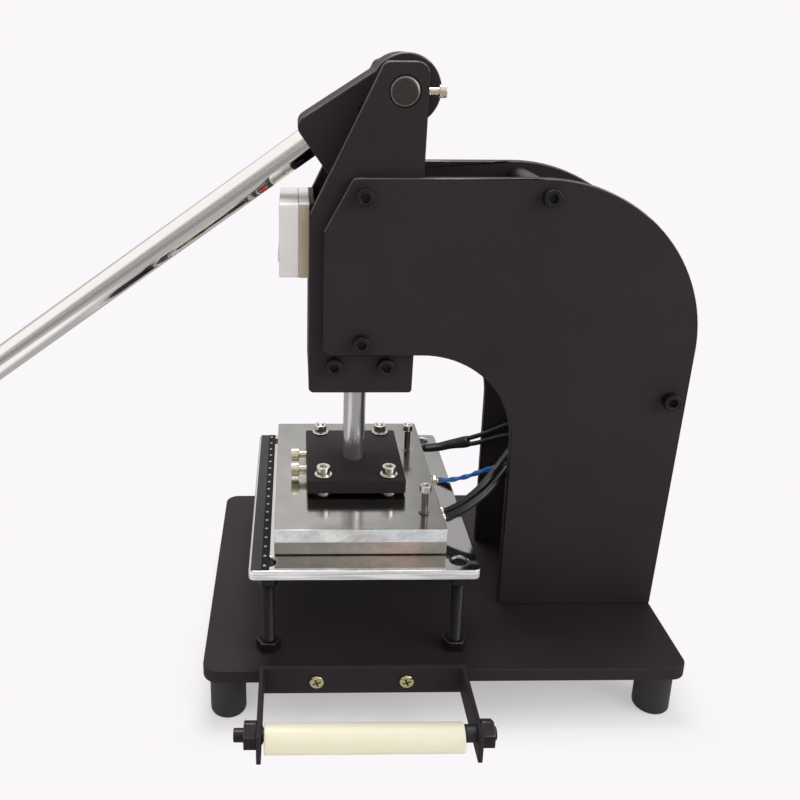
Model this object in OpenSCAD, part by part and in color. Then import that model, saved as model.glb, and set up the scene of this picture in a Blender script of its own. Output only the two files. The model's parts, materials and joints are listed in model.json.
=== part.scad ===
// Hand lever hot foil stamping machine: a steel gooseneck frame on a base plate, a lever that drives a ram
// through a pin and a slotted yoke, a heated die plate over a raised table, and a foil roller in front.
// Every piece is drawn in machine coordinates: the ram axis is x = 0, y = 0, the top of the base plate is
// z = 0, the operator stands at -X. placed() then puts the origin on the floor, under the machine's middle.

/* [Base] */
// Length of the base plate, front to back
base_l = 280; // [260:1:340]
// Width of the base plate
base_w = 204; // [194:1:260]
// Thickness of the base plate
base_t = 8; // [6:0.5:12]
// Corner radius of the base plate
base_corner_r = 9; // [3:0.5:14]
// Ram axis to the front edge of the base
ram_to_front = 91; // [84:1:110]
// Foot diameter
foot_d = 21; // [17:0.5:25]
// Foot height
foot_h = 28; // [18:0.5:40]
// Foot centre to the edges of the base
foot_inset = 13.8; // [12.5:0.1:20]

/* [Side plates] */
// Thickness of the side plates and of the head cheeks
plate_t = 6; // [5:0.5:8]
// Clear width between the side plates
frame_gap = 68.6; // [64:0.2:80]
// Top edge of the arm above the base
arm_top = 271.5; // [268:0.5:285]
// Lower edge of the arm above the base
throat_h = 168.5; // [160:0.5:180]
// Reach of the side plates ahead of the ram axis
arm_front = 22; // [19:0.5:26]
// Drop of the slanted front corner of the side plates below their top edge
arm_slant_drop = 30; // [20:0.5:45]
// Front end of the arm's top edge, ahead of the ram axis
arm_slant_front = 6; // [2:0.5:12]
// Ram axis to the front edge of the column
throat_depth = 91.5; // [85:0.5:105]
// Radius of the throat's inner corner
throat_r = 55.5; // [30:0.5:58]
// Radius of the rear top corner
rear_r = 97; // [70:0.5:99]
// How far the column leans out behind the base
rear_lean = 6.5; // [0:0.5:8]
// Axis of the tie bars and upper screws inside the plate's edge
tie_inset = 10.3; // [9.5:0.1:13]
// Ram axis to the upper tie bar
tie_top_x = 102.7; // [90:0.1:115]
// Height of the rear tie bar
tie_rear_h = 140.7; // [136:0.1:160]
// Tie bar diameter
tie_d = 13; // [11:0.5:15]
// Thread of the frame screws
frame_screw_d = 6; // [5:1:6]

/* [Head] */
// Reach of the head ahead of the ram axis
head_front = 30; // [29:0.5:34]
// Depth of the head behind the ram axis, at its lower end
head_back = 31.3; // [30:0.1:36]
// How far the head hangs below the arm
head_drop = 25.5; // [22:0.5:32]
// Start of the ears' slanted front edge below the arm's top edge
ear_slant_drop = 21.5; // [16:0.5:27]
// Lever pivot behind the ram axis
pivot_x = 21; // [20.5:0.1:22]
// Lever pivot above the arm's top edge
pivot_rise = 45.5; // [43:0.5:54]
// Pivot pin diameter
pin_d = 17; // [14:0.5:17]
// Ear's metal above, ahead of and behind the pin's axis
ear_margin = 13.2; // [12.5:0.1:15]
// Ear's flat top above the pin's axis
ear_top_rise = 15.7; // [14:0.1:17]
// Height of the lower guide block above the arm's lower edge
guide_rise = 20; // [15:0.5:30]
// Lower guide block above the lower end of the head
guide_lift = 4; // [2:0.5:8]
// Guide screws above and below the arm's lower edge
guide_screw_offset = 8; // [7.5:0.1:9]
// Lower guide screws either side of the ram axis
guide_screw_x = 15.2; // [14.5:0.1:18]
// Height of the upper guide block
upper_guide_h = 21; // [16:0.5:24]
// Front to back size of the upper guide block
upper_guide_l = 28; // [26:0.5:30]
// Front panel thickness
panel_t = 3; // [2:0.5:4]

/* [Lever] */
// Lever angle below the horizontal, press closed
lever_tilt = 35.5; // [34:0.5:37]
// Swing of the lever from closed to open
lever_swing = 60; // [30:5:60]
// Half height of the lever block, and radius of its round end
block_r = 20; // [19:0.5:21]
// Middle of the round end behind the pivot
round_back = 2.2; // [0:0.1:3]
// Fall of the lever block's top edge toward the pivot
block_fall = 3; // [0:0.1:4]
// Width of the lever block
block_w = 36; // [32:0.5:42]
// Pivot to the front face of the lever block
block_reach = 60; // [58:0.5:66]
// Lever rod diameter
rod_d = 18; // [14:0.5:20]
// Lever rod axis above the pivot's axis
rod_rise = 5; // [3:0.5:6]
// Length of the lever rod
rod_l = 360; // [260:1:420]
// Length of the rod inside the lever block
rod_seat = 12; // [8:0.5:14]
// Grip diameter
grip_d = 26; // [22:0.5:34]
// Grip length
grip_l = 105; // [80:1:130]
// Pivot to the drive pin
drive_arm = 22.4; // [20:0.1:24]
// Drive pin diameter
drive_pin_d = 8; // [6:0.5:8]

/* [Ram] */
// Ram diameter
ram_d = 14; // [12:0.5:16]
// Wall of the bronze bushes
bush_wall = 2.5; // [1.5:0.25:3]
// Thickness of the slotted yoke on top of the ram
yoke_w = 14; // [12:0.5:16]
// Front to back size of the yoke
yoke_l = 21; // [20:0.5:22]
// Metal over and under the yoke's slot
yoke_wall = 3.6; // [3:0.1:4]
// Length of the yoke's shank below the slot
yoke_shank = 17; // [12:0.5:20]
// Ram plate length
ram_plate_l = 60.8; // [54:0.2:70]
// Ram plate width
ram_plate_w = 74.2; // [68:0.1:84]
// Ram plate thickness
ram_plate_t = 8.7; // [6:0.1:10]
// Ram plate's middle beside the ram axis
ram_plate_side = 2.1; // [0:0.1:6]
// Depth of the ram's seat in the ram plate
ram_seat = 3; // [2:0.5:4]
// Ram plate screws inside its front and back edges
plate_screw_end = 10; // [8:0.1:13]
// Ram plate screws inside its side edges, with the middle of the four over the plate's middle
plate_screw_side = 5.9; // [5.5:0.1:9]
// Middle of the four ram plate screws beside the plate's middle
plate_screw_shift = 1.8; // [0:0.1:2]
// Thread of the ram plate screws
plate_screw_d = 5; // [4:1:5]
// Washer diameter under the ram plate screws
washer_d = 11; // [9.5:0.5:13]
// Washer thickness
washer_t = 1.2; // [0.8:0.1:2]
// Spacers between the ram plate and the heater
spacer_h = 2; // [1.5:0.1:5]

/* [Heater and die] */
// Heater block and die plate length
heater_l = 100; // [92:0.5:112]
// Heater block and die plate width
heater_w = 148; // [130:0.5:156]
// Heater block thickness
heater_t = 8.4; // [8:0.1:12]
// Die plate thickness
die_t = 7.6; // [6:0.1:10]
// Gap between the die plate and the table, press closed
die_gap = 0.7; // [0.4:0.1:1.5]
// Cartridge heater diameter
cartridge_d = 6; // [5:0.5:6.5]
// Length of a cartridge inside the heater block
cartridge_l = 88; // [40:1:90]
// Thread of the die plate screws
die_screw_d = 4; // [3:1:4]
// Height of the die plate screws' heads over the heater block
die_screw_rise = 19; // [12:0.5:24]

/* [Table] */
// Table length, front to back
table_l = 131.5; // [122:0.5:140]
// Table width
table_w = 180; // [172:0.5:190]
// Table thickness
table_t = 6; // [5:0.5:10]
// Table top above the base
table_h = 57.7; // [50:0.1:66]
// Table's middle behind the ram axis
table_back = 1.5; // [0:0.5:4]
// Table corner radius
table_corner_r = 3.5; // [1:0.5:6]
// Leg axes inside the table's front and back edges
leg_end = 10.75; // [9:0.25:13]
// Leg axes inside the table's side edges
leg_side = 10; // [8:0.25:14]
// Leg diameter
leg_d = 8; // [6:1:10]
// Leg tops below the table's surface
leg_sink = 0.8; // [0.5:0.1:4]
// Chamfer of the leg holes in the table's top
leg_chamfer = 1.2; // [0.4:0.1:2]
// Ruler strip width
ruler_w = 10.5; // [8:0.5:13]
// Ruler strip thickness
ruler_t = 0.5; // [0.3:0.1:1]
// Ruler strip inside the table's front edge
ruler_inset = 1.2; // [0.5:0.1:3]

/* [Foil roller] */
// Roller diameter
roller_d = 15.4; // [14:0.1:20]
// Bore of the roller, which hangs loose on its axle
roller_bore = 12.4; // [8:0.1:12.8]
// Roller length
roller_l = 104.5; // [90:0.5:120]
// Roller's middle behind the ram axis
roller_back = -1.75; // [-5:0.25:5]
// Bracket strip height
bracket_h = 17.5; // [15:0.5:20]
// Bracket strip thickness
bracket_t = 2.5; // [2:0.1:4]
// Reach of the bracket's arms from the base
bracket_reach = 54.6; // [40:0.2:70]
// Axle inside the ends of the arms
axle_inset = 9.1; // [8.8:0.1:12]
// Axle below the upper edge of the arms
axle_drop = 6.7; // [6:0.1:10]
// Bracket's top edge above the base's top
bracket_rise = 4.2; // [2:0.1:6]
// Axle diameter
axle_d = 7; // [6:0.5:8]
// Axle sticking out past the front arm
axle_stub = 12; // [10:0.5:16]
// Axle sticking out past the rear arm
axle_end = 8.2; // [7.5:0.1:12]
// Spacer on the axle between the roller and the rear arm
axle_spacer_l = 5.6; // [3:0.1:8]
// Distance between the bracket's two screws
bracket_screw_pitch = 51.2; // [40:0.2:80]
// Bracket's screws below the base's top
bracket_screw_drop = 4.6; // [3.5:0.1:4.8]

/* [Controller and power] */
// Controller width
ctrl_w = 60; // [56:0.5:66]
// Controller height
ctrl_h = 43.5; // [40:0.5:50]
// Controller's lower edge below the start of the ears' slant
ctrl_drop = 38; // [38:0.5:50]
// Depth of the controller's front housing
ctrl_front_d = 11.2; // [8:0.1:14]
// Depth of the controller's back frame
ctrl_back_d = 6; // [4:0.5:8]
// Wall of the controller
ctrl_wall = 2; // [1.6:0.1:2.4]
// Key diameter
key_d = 6; // [5:0.5:7]
// Key travel
key_travel = 0.6; // [0.4:0.1:1]
// Gap between the rear panel and the rear tie bar
rear_panel_gap = 8.2; // [4:0.1:20]
// Sheet thickness of the rear panel
sheet_t = 2; // [1.5:0.1:2.5]

/* [Fits] */
// Radial clearance of running fits
run_fit = 0.05; // [0.02:0.01:0.1]
// Radial clearance of screws, pins and bushes in their holes
hole_fit = 0.1; // [0.05:0.01:0.2]
// Side clearance between moving faces
side_fit = 0.3; // [0.15:0.05:0.5]
// Clearance of the drive pin above and below in the yoke's slot
slot_play = 0.55; // [0.5:0.05:0.8]

/* [Hidden] */
$fn = 48;

// Colours
coat_black = "#342f30";
rubber_black = "#1b1b1b";
steel_black = "#262525";
chrome_grey = "#d6d8da";
alloy_grey = "#c3c1be";
brass_yellow = "#c9a860";
bronze_brown = "#a98550";
ivory = "#f6f2d8";
case_grey = "#dcdcda";
case_beige = "#cfc7ae";
wire_blue = "#1f62b4";

// Base and side plates
base_x0 = -ram_to_front;
base_x1 = base_l - ram_to_front;
floor_z = -base_t - foot_h;
frame_in = frame_gap / 2;
frame_out = frame_in + plate_t;
rear_cx = base_x1 + rear_lean - rear_r;
rear_cz = arm_top - rear_r;
tie_top = [tie_top_x, arm_top - tie_inset];
tie_rear = [base_x1 + rear_lean * tie_rear_h / rear_cz - tie_inset, tie_rear_h];
rear_panel_h = tie_rear_h - tie_d / 2 - rear_panel_gap;

// Head
cheek_in = frame_in - plate_t;
arm_slant_h = arm_top - arm_slant_drop;
ear_slant_h = arm_top - ear_slant_drop;
pivot_z = arm_top + pivot_rise;
head_z0 = throat_h - head_drop;
ear_top = pivot_z + ear_top_rise;
upper_screw = [0, arm_top - tie_inset];
guide_upper_screw = [0, throat_h + guide_screw_offset];
guide_low_z = throat_h - guide_screw_offset;
guide_z0 = head_z0 + guide_lift;
guide_z1 = throat_h + guide_rise;
upper_guide_z1 = upper_screw.y + frame_screw_d / 2 + 1.5;
upper_guide_z0 = upper_guide_z1 - upper_guide_h;
panel_x = panel_t - head_front;
ctrl_z = ear_slant_h - ctrl_drop;
ctrl_z1 = ctrl_z + ctrl_h;
frame_screw_bite = 13;

// Ram stack, from the table upwards
die_z0 = table_h + die_gap;
heater_z0 = die_z0 + die_t;
heater_z1 = heater_z0 + heater_t;
ram_plate_z0 = heater_z1 + spacer_h;
ram_plate_z1 = ram_plate_z0 + ram_plate_t;
plate_screw_x = ram_plate_l / 2 - plate_screw_end;
plate_screw_y = ram_plate_w / 2 - plate_screw_side;
heater_bores = [[41.8, cartridge_l], [-46, cartridge_l], [-54, 6]];
cartridge_out = 2;
lead_gap = 0.4;
sensor_y = -6;
sensor_d = 4;
sensor_l = 30;
sensor_neck_l = 1.4;
sensor_nut_d = 6;
sensor_nut_l = 2.4;
sensor_tail_l = 1.5;
die_screws = [[39, -56], [39, 30]];
die_hole_d = die_screw_d + 2 * hole_fit;
die_chamfer = 1.1;

// Lever mechanism: the drive pin swings evenly above and below the pivot's height
drive_angle = lever_swing / 2;
drive_x = pivot_x - drive_arm * cos(drive_angle);
drive_z = pivot_z - drive_arm * sin(drive_angle);
slot_h = drive_pin_d + 2 * slot_play;
slot_x0 = pivot_x - drive_arm - drive_pin_d / 2 - slot_play;
slot_x1 = drive_x + drive_pin_d / 2 + slot_play;
yoke_z1 = drive_z + slot_h / 2 + yoke_wall;
yoke_z0 = drive_z - slot_h / 2 - yoke_wall - yoke_shank;
yoke_corner_r = 7;
pocket_w = yoke_w + 2 * side_fit + 0.4;
pocket_roof = block_r - 6;
rod_u0 = block_reach - rod_seat;
rod_u1 = rod_u0 + rod_l;
grip_cap = 10;
grip_u1 = rod_u1 + grip_cap;

// Table
table_z0 = table_h - table_t;
leg_x = table_l / 2 - leg_end;
leg_y = table_w / 2 - leg_side;
leg_nut_h = 0.8 * leg_d;
leg_hole_d = leg_d + 2 * hole_fit;

// Foil roller
bracket_y = -base_w / 2;
bracket_tip = bracket_y - bracket_reach;
axle_y = bracket_tip + axle_inset;
bracket_mid_z = bracket_rise - bracket_h / 2;
axle_z = bracket_rise - axle_drop;
roller_z = axle_z - (roller_bore - axle_d) / 2 + run_fit;
roller_x0 = roller_back - roller_l / 2;
roller_x1 = roller_back + roller_l / 2;
front_spacer_l = 0.9;
arm_in0 = roller_x0 - 2 * side_fit - front_spacer_l;
arm_in1 = roller_x1 + 2 * side_fit + axle_spacer_l;
axle_nut_h = 6.6;
axle_nut_af = 13;

// Whole machine: shift from machine coordinates to the origin on the floor
machine_x0 = pivot_x - (grip_u1 - grip_d / 2) * cos(lever_tilt) - rod_rise * sin(lever_tilt) - grip_d / 2;
machine_x1 = base_x1 + rear_lean;
shift = [-(machine_x0 + machine_x1) / 2, -(bracket_tip + base_w / 2) / 2, -floor_z];

// Lead routes from the heater block into the column
terminal = [127, 0, 30];
lead_far = [[52.4, 43.5, 70.2], [55, 43.5, 70], [63, 42.9, 71.3], [70.5, 41, 74.4], [79, 37.2, 78.6],
            [87, 32.4, 83.6], [94, 27, 89.1], [100, 22.5, 94.6], [106, 19, 99], [113, 17, 99.5],
            [119, 17, 95], [123, 17, 86], [126, 17, 74], [127, 17, 63], [127, 17, 52], [127, 17, 41],
            [127, 17, 30]];
lead_far_low = [[52.4, 40.1, 70.2], [55, 40.1, 70], [63, 39.3, 71.2], [70.5, 37.2, 73.9], [79, 33.2, 76.7],
                [87, 28.7, 80.3], [94, 23.7, 85.2], [100, 19, 89.6], [106, 15.5, 92.5], [113, 13, 92.5],
                [119, 13, 88], [123, 13, 80], [126, 13, 69], [127, 13, 58], [127, 13, 48], [127, 13, 39],
                [127, 13, 30]];
lead_near = [[52.4, -46, 70.2], [54, -46, 70.4], [61, -45.5, 73.9], [68, -43, 78], [76, -38.5, 82.9],
             [82, -33.5, 87], [88, -27.5, 90.8], [93, -22, 93.8], [99, -15.5, 97], [106, -9, 97.2],
             [113, -6, 93], [119, -5, 85], [123, -5, 75], [126, -5, 63], [127, -5, 52], [127, -5, 41],
             [127, -5, 30]];
lead_earth = [[52.4, -54, 70.2], [54, -54, 70.4], [61, -53, 74], [68, -50, 77.1], [76, -45, 80.6],
              [82, -39.5, 83.3], [88, -33, 86.2], [94, -27, 90], [100, -22, 93.6], [107, -18, 94],
              [114, -15.5, 90], [119, -15, 82], [123, -15, 72], [126, -15, 61], [127, -15, 50],
              [127, -15, 40], [127, -15, 30]];
sensor_wire = [[55.7, -6, 70.2], [58, -6, 70.2], [64, -5.8, 70.4], [70, -5, 71.2], [76, -4, 72.3],
               [82, -2.5, 73.9], [89, -0.5, 75.3], [96, 1.5, 76.6], [103, 3, 77.4], [110, 4.4, 76],
               [116, 5, 71.2], [121, 5, 63.5], [124.5, 5, 54], [126.5, 5, 45], [127, 5, 37], [127, 5, 30]];
heater_lead_d = 4.2;
far_lead_d = 3.2;
sensor_wire_d = 3.4;

// Corner of an outline rounded to radius r, between the neighbours a and c
function toward(v) = v / norm(v);
function corner(a, b, c, r, n = 6) =
    r == 0 ? [b] :
    let (p = toward(a - b), q = toward(c - b), half = acos(p * q) / 2, m = b + toward(p + q) * r / sin(half),
         s = b + p * r / tan(half) - m, e = b + q * r / tan(half) - m, a0 = atan2(s.y, s.x),
         sweep = (atan2(e.y, e.x) - a0 + 540) % 360 - 180)
    [for (i = [0:n]) m + r * [cos(a0 + sweep * i / n), sin(a0 + sweep * i / n)]];

// Outline from points [x, y, corner radius]
function at(p, i) = let (k = (i + len(p)) % len(p)) [p[k].x, p[k].y];
function outline(p) = [for (i = [0:len(p) - 1]) each corner(at(p, i - 1), at(p, i), at(p, i + 1), p[i].z)];

// Profiles drawn as (x, z) or (y, z), extruded along Y or X
module slab_y(y0, y1) translate([0, y1, 0]) rotate([90, 0, 0]) linear_extrude(y1 - y0) children();
module slab_x(x0, x1) translate([x0, 0, 0]) rotate([90, 0, 90]) linear_extrude(x1 - x0) children();
module bar_y(d, y0, y1) translate([0, y1, 0]) rotate([90, 0, 0]) cylinder(d = d, h = y1 - y0);
module bar_x(d, x0, x1) translate([x0, 0, 0]) rotate([0, 90, 0]) cylinder(d = d, h = x1 - x0);

module round_rect(l, w, r) {
    square([l - 2 * r, w], center = true);
    square([l, w - 2 * r], center = true);
    for (sx = [-1, 1], sy = [-1, 1]) translate([sx * (l / 2 - r), sy * (w / 2 - r)]) circle(r);
}

// Socket cap screw, head above z = 0 and shank below
function cap_d(d) = 1.5 * d + 1;
module cap_screw(d, l) {
    difference() {
        cylinder(d = cap_d(d), h = d);
        translate([0, 0, 0.4 * d]) cylinder(d = (d - 1) / cos(30), h = d, $fn = 6);
    }
    translate([0, 0, -l]) cylinder(d = d, h = l);
}

// Countersunk screw with its head flush at z = 0, and its hole
module flush_screw(d, l) difference() {
    union() {
        translate([0, 0, -d / 2]) cylinder(d1 = d, d2 = 2 * d, h = d / 2);
        translate([0, 0, -l]) cylinder(d = d, h = l);
    }
    translate([0, 0, -0.35 * d]) cylinder(d = 0.6 * d / cos(30), h = d, $fn = 6);
}
module flush_hole(d, l) {
    screw_hole(d, l);
    translate([0, 0, -d / 2 - hole_fit])
        cylinder(d1 = d + 2 * hole_fit, d2 = 2 * d + 4 * hole_fit, h = d / 2 + hole_fit);
}

module hex_nut(d, h, across = 0) {
    difference() {
        cylinder(d = (across > 0 ? across : 1.625 * d) / cos(30), h = h, $fn = 6);
        translate([0, 0, -1]) cylinder(d = d + 2 * hole_fit, h = h + 2);
    }
}

// Screw hole below z = 0
module screw_hole(d, l) translate([0, 0, -l]) cylinder(d = d + 2 * hole_fit, h = l + 1);

// Both sides of the machine, mirrored in the ram's plane
module both_sides() {
    children();
    mirror([0, 1, 0]) children();
}

module at_corners(x, y) for (sx = [-1, 1], sy = [-1, 1]) translate([sx * x, sy * y, 0]) children();

module at_feet()
    for (x = [base_x0 + foot_inset, base_x1 - foot_inset], y = [-1, 1] * (base_w / 2 - foot_inset))
        translate([x, y, -base_t]) children();

module at_legs() translate([table_back, 0, 0]) at_corners(leg_x, leg_y) children();

module at_plate_screws() translate([0, ram_plate_side + plate_screw_shift, 0])
    at_corners(plate_screw_x, plate_screw_y) children();

// Points of the right side plate's screws, turned so that +Z leaves the plate
module on_side(y, points) for (p = points) translate([p.x, y, p.y]) rotate([90, 0, 0]) children();

// Lever coordinates: x along the rod from the pivot, z square to it
module on_lever() translate([pivot_x, 0, pivot_z]) rotate([0, -lever_tilt, 0]) mirror([1, 0, 0]) children();

module placed() translate(shift) children();

// Tube swept along points that never run along Y
function tangent(p, i) = toward(p[min(i + 1, len(p) - 1)] - p[max(i - 1, 0)]);
module tube(p, d, sides) {
    n = len(p);
    rings = [for (i = [0:n - 1])
                let (t = tangent(p, i), b = toward(cross(t, [0, 1, 0])), c = cross(b, t))
                for (k = [0:sides - 1]) p[i] + d / 2 * (cos(360 * k / sides) * b + sin(360 * k / sides) * c)];
    walls = [for (i = [0:n - 2], k = [0:sides - 1])
                let (a = i * sides + k, b = i * sides + (k + 1) % sides)
                each [[a, a + sides, b], [b, a + sides, b + sides]]];
    start = [for (k = [1:sides - 2]) [0, k, k + 1]];
    finish = [for (k = [1:sides - 2]) [(n - 1) * sides, (n - 1) * sides + k + 1, (n - 1) * sides + k]];
    polyhedron(rings, concat(walls, start, finish), convexity = 6);
}

// Base

base_screw_d = 4;
base_screw_bite = 9;
foot_screw_d = 5;
foot_screw_bite = 0.75 * base_t;
base_screw_x = [for (t = [0.14, 0.5, 0.86]) throat_depth + t * (base_x1 - throat_depth)];
module at_base_screws()
    for (x = base_screw_x, y = [-1, 1] * (frame_in + plate_t / 2)) translate([x, y, -base_t]) children();
base_screw_sink = base_screw_d + 0.4;
rear_panel_x = base_x1 - 3;
flange_l = 20;
rear_screw_d = 4;
module at_rear_screws()
    for (y = [-1, 1] * frame_in * 0.6) translate([rear_panel_x - flange_l / 2, y, sheet_t]) children();

module base_plate() color(coat_black) placed() difference() {
    translate([(base_x0 + base_x1) / 2, 0, -base_t]) linear_extrude(base_t)
        round_rect(base_l, base_w, base_corner_r);
    at_feet() rotate([180, 0, 0]) screw_hole(foot_screw_d, foot_screw_bite);
    at_legs() screw_hole(leg_d, base_t + 1);
    at_base_screws() {
        translate([0, 0, base_t]) screw_hole(base_screw_d, base_t + 1);
        translate([0, 0, -1]) cylinder(d = cap_d(base_screw_d) + 1, h = base_screw_sink + 1);
    }
    at_rear_screws() screw_hole(rear_screw_d, base_t + sheet_t + 1);
    for (x = [-1, 1] * bracket_screw_pitch / 2)
        translate([x, bracket_y, -bracket_screw_drop]) rotate([90, 0, 0])
            screw_hole(bracket_screw_d, bracket_screw_l);
}

foot_recess = 14;
foot_edge_r = 2;
module rubber_feet() color(rubber_black) placed() at_feet() translate([0, 0, -foot_h]) rotate_extrude()
    difference() {
    union() {
        translate([0, foot_edge_r]) square([foot_d / 2, foot_h - foot_edge_r]);
        square([foot_d / 2 - foot_edge_r, foot_edge_r]);
        translate([foot_d / 2 - foot_edge_r, foot_edge_r]) circle(foot_edge_r);
    }
    translate([0, -1]) square([foot_screw_d, foot_recess + 1]);
    square([foot_screw_d / 2 + hole_fit, foot_h + 1]);
}

module foot_screws() color(steel_black) placed() at_feet()
    translate([0, 0, foot_recess - foot_h]) rotate([180, 0, 0])
        cap_screw(foot_screw_d, foot_h - foot_recess + foot_screw_bite - 0.5);

// Side plates

module side_plate_profile() difference() {
    union() {
        translate([rear_cx, rear_cz]) circle(rear_r, $fn = 160);
        polygon(outline([[-arm_front, throat_h, 5], [-arm_front, arm_slant_h, 3],
                        [-arm_slant_front, arm_top, 3],
                         [rear_cx, arm_top, 0], [base_x1 + rear_lean, rear_cz, 0], [base_x1, 0, 0],
                         [throat_depth, 0, 0], [throat_depth, throat_h, 0]]));
    }
    translate([throat_depth - throat_r, throat_h - throat_r]) circle(throat_r, $fn = 120);
    translate([-base_l, -1]) square([base_l + throat_depth, throat_h - throat_r + 1]);
    translate([-base_l, -1]) square([base_l + throat_depth - throat_r, throat_h + 1]);
}

side_points = [upper_screw, guide_upper_screw, tie_top, tie_rear];
low_points = [[-guide_screw_x, guide_low_z], [guide_screw_x, guide_low_z]];

module side_plate() difference() {
    slab_y(-frame_out, -frame_in) side_plate_profile();
    on_side(-frame_out, side_points) screw_hole(frame_screw_d, plate_t + 1);
    at_base_screws() translate([0, 0, base_t + base_screw_bite])
        screw_hole(base_screw_d, base_screw_bite + 1);
}
module side_plate_right() color(coat_black) placed() side_plate();
module side_plate_left() color(coat_black) placed() mirror([0, 1, 0]) side_plate();

module base_screws() color(steel_black) placed() at_base_screws()
    translate([0, 0, base_screw_sink]) rotate([180, 0, 0])
        cap_screw(base_screw_d, base_t - base_screw_sink + base_screw_bite - 1);

// Head

module head_cheek_profile() polygon(outline([
    [-head_front, head_z0, 3], [-head_front, ear_slant_h, 3], [pivot_x - ear_margin + 2, ear_top, 5],
    [pivot_x + ear_margin, ear_top, 7], [head_back, head_z0, 2]]));

ear_back = pivot_x + ear_margin - (pivot_x + ear_margin - head_back) * ear_top_rise / (ear_top - head_z0);
cheek_mid = cheek_in + plate_t / 2;
lock_screw_d = 4;

module head_cheek() difference() {
    slab_y(-frame_in, -cheek_in) head_cheek_profile();
    translate([pivot_x, 0, pivot_z]) bar_y(pin_d + 2 * hole_fit, -frame_in - 1, -cheek_in + 1);
    on_side(-frame_in, concat([upper_screw, guide_upper_screw], low_points))
        screw_hole(frame_screw_d, plate_t + 1);
}
module head_cheek_right() color(coat_black) placed() difference() {
    head_cheek();
    translate([pivot_x, -cheek_mid, pivot_z]) bar_x(lock_screw_d + 2 * hole_fit, 0, 2 * ear_margin);
}
module head_cheek_left() color(coat_black) placed() mirror([0, 1, 0]) head_cheek();

bush_d = ram_d + 2 * bush_wall;
panel_screw_d = 4;
panel_screw_l = 12;
panel_screw_y = cheek_in - 9;
panel_screw_z = [guide_z0 + 7, guide_z1 - 7];
module at_panel_screws()
    for (y = [-1, 1] * panel_screw_y, z = panel_screw_z) translate([-head_front, y, z])
        rotate([0, -90, 0]) children();

module lower_guide() color(steel_black) placed() difference() {
    slab_y(-cheek_in, cheek_in) translate([panel_x, guide_z0])
        square([head_back - 3 - panel_x, guide_z1 - guide_z0]);
    translate([0, 0, guide_z0 - 1]) cylinder(d = bush_d + 2 * hole_fit, h = guide_z1 - guide_z0 + 2);
    both_sides() on_side(-cheek_in, concat([guide_upper_screw], low_points))
        screw_hole(frame_screw_d, frame_screw_bite);
    at_panel_screws() screw_hole(panel_screw_d, panel_screw_l + panel_t);
}

module upper_guide() color(steel_black) placed() difference() {
    slab_y(-cheek_in, cheek_in) translate([-upper_guide_l / 2, upper_guide_z0])
        square([upper_guide_l, upper_guide_h]);
    translate([0, 0, upper_guide_z0 - 1]) cylinder(d = bush_d + 2 * hole_fit, h = upper_guide_h + 2);
    both_sides() on_side(-cheek_in, [upper_screw]) screw_hole(frame_screw_d, frame_screw_bite);
}

// A bush's collar sits on top of its guide block
collar_h = 1.5;
module bush(z0, z1) difference() {
    union() {
        translate([0, 0, z0]) cylinder(d = bush_d, h = z1 - z0);
        translate([0, 0, z1]) cylinder(d = bush_d + 5, h = collar_h);
    }
    translate([0, 0, z0 - 1]) cylinder(d = ram_d + 2 * run_fit, h = z1 - z0 + collar_h + 2);
}
module ram_bushes() color(bronze_brown) placed() {
    bush(guide_z0, guide_z1);
    bush(upper_guide_z0, upper_guide_z1);
}

module tie_bars() color(steel_black) placed() for (p = [tie_top, tie_rear]) translate([p.x, 0, p.y])
    difference() {
    bar_y(tie_d, -frame_in, frame_in);
    both_sides() translate([0, -frame_in, 0]) rotate([90, 0, 0]) screw_hole(frame_screw_d, frame_screw_bite);
}

module frame_screws() color(steel_black) placed() both_sides() {
    on_side(-frame_out, [tie_top, tie_rear]) cap_screw(frame_screw_d, plate_t + frame_screw_bite - 1);
    on_side(-frame_out, [upper_screw, guide_upper_screw])
        cap_screw(frame_screw_d, 2 * plate_t + frame_screw_bite - 1);
    on_side(-frame_in, low_points) cap_screw(frame_screw_d, plate_t + frame_screw_bite - 1);
}

module front_panel() color(coat_black) placed() difference() {
    slab_x(-head_front, panel_x) translate([-cheek_in + 0.1, guide_z0])
        square([2 * cheek_in - 0.2, ctrl_z1 - guide_z0]);
    at_panel_screws() flush_hole(panel_screw_d, panel_t + 1);
    slab_x(-head_front - 1, panel_x + 1) translate([0, ctrl_z + ctrl_h / 2]) circle(d = wire_hole_d);
}

module panel_screws() color(steel_black) placed() {
    at_panel_screws() flush_screw(panel_screw_d, panel_screw_l);
    at_rear_screws() cap_screw(rear_screw_d, sheet_t + base_t - 2);
}

// Controller

wire_hole_d = 12;
ctrl_x = -head_front - ctrl_back_d - ctrl_front_d;
case_x = -head_front - ctrl_back_d;
ctrl_mid_z = ctrl_z + ctrl_h / 2;
window_w = 42;
window_h = 15;
window_z = ctrl_mid_z + 7;
key_z = ctrl_z + 10;
key_y = [-18, -6, 6, 18];
key_out = 0.9;
key_collar = 1;
key_ledge_x = ctrl_x + ctrl_wall + key_collar + key_travel + 0.1;

module back_frame() difference() {
    slab_x(case_x, -head_front) translate([0, ctrl_mid_z]) round_rect(ctrl_w, ctrl_h, 2);
    slab_x(case_x - 1, -head_front - ctrl_wall)
        translate([0, ctrl_mid_z]) square([ctrl_w - 4 * ctrl_wall, ctrl_h - 4 * ctrl_wall], center = true);
    slab_x(case_x, -head_front + 1) translate([0, ctrl_mid_z]) circle(d = wire_hole_d);
}
module controller_back() color(case_beige) placed() {
    back_frame();
    slab_x(key_ledge_x, -head_front - ctrl_wall)
        translate([0, key_z]) square([ctrl_w - 4 * ctrl_wall, key_d], center = true);
}

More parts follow.
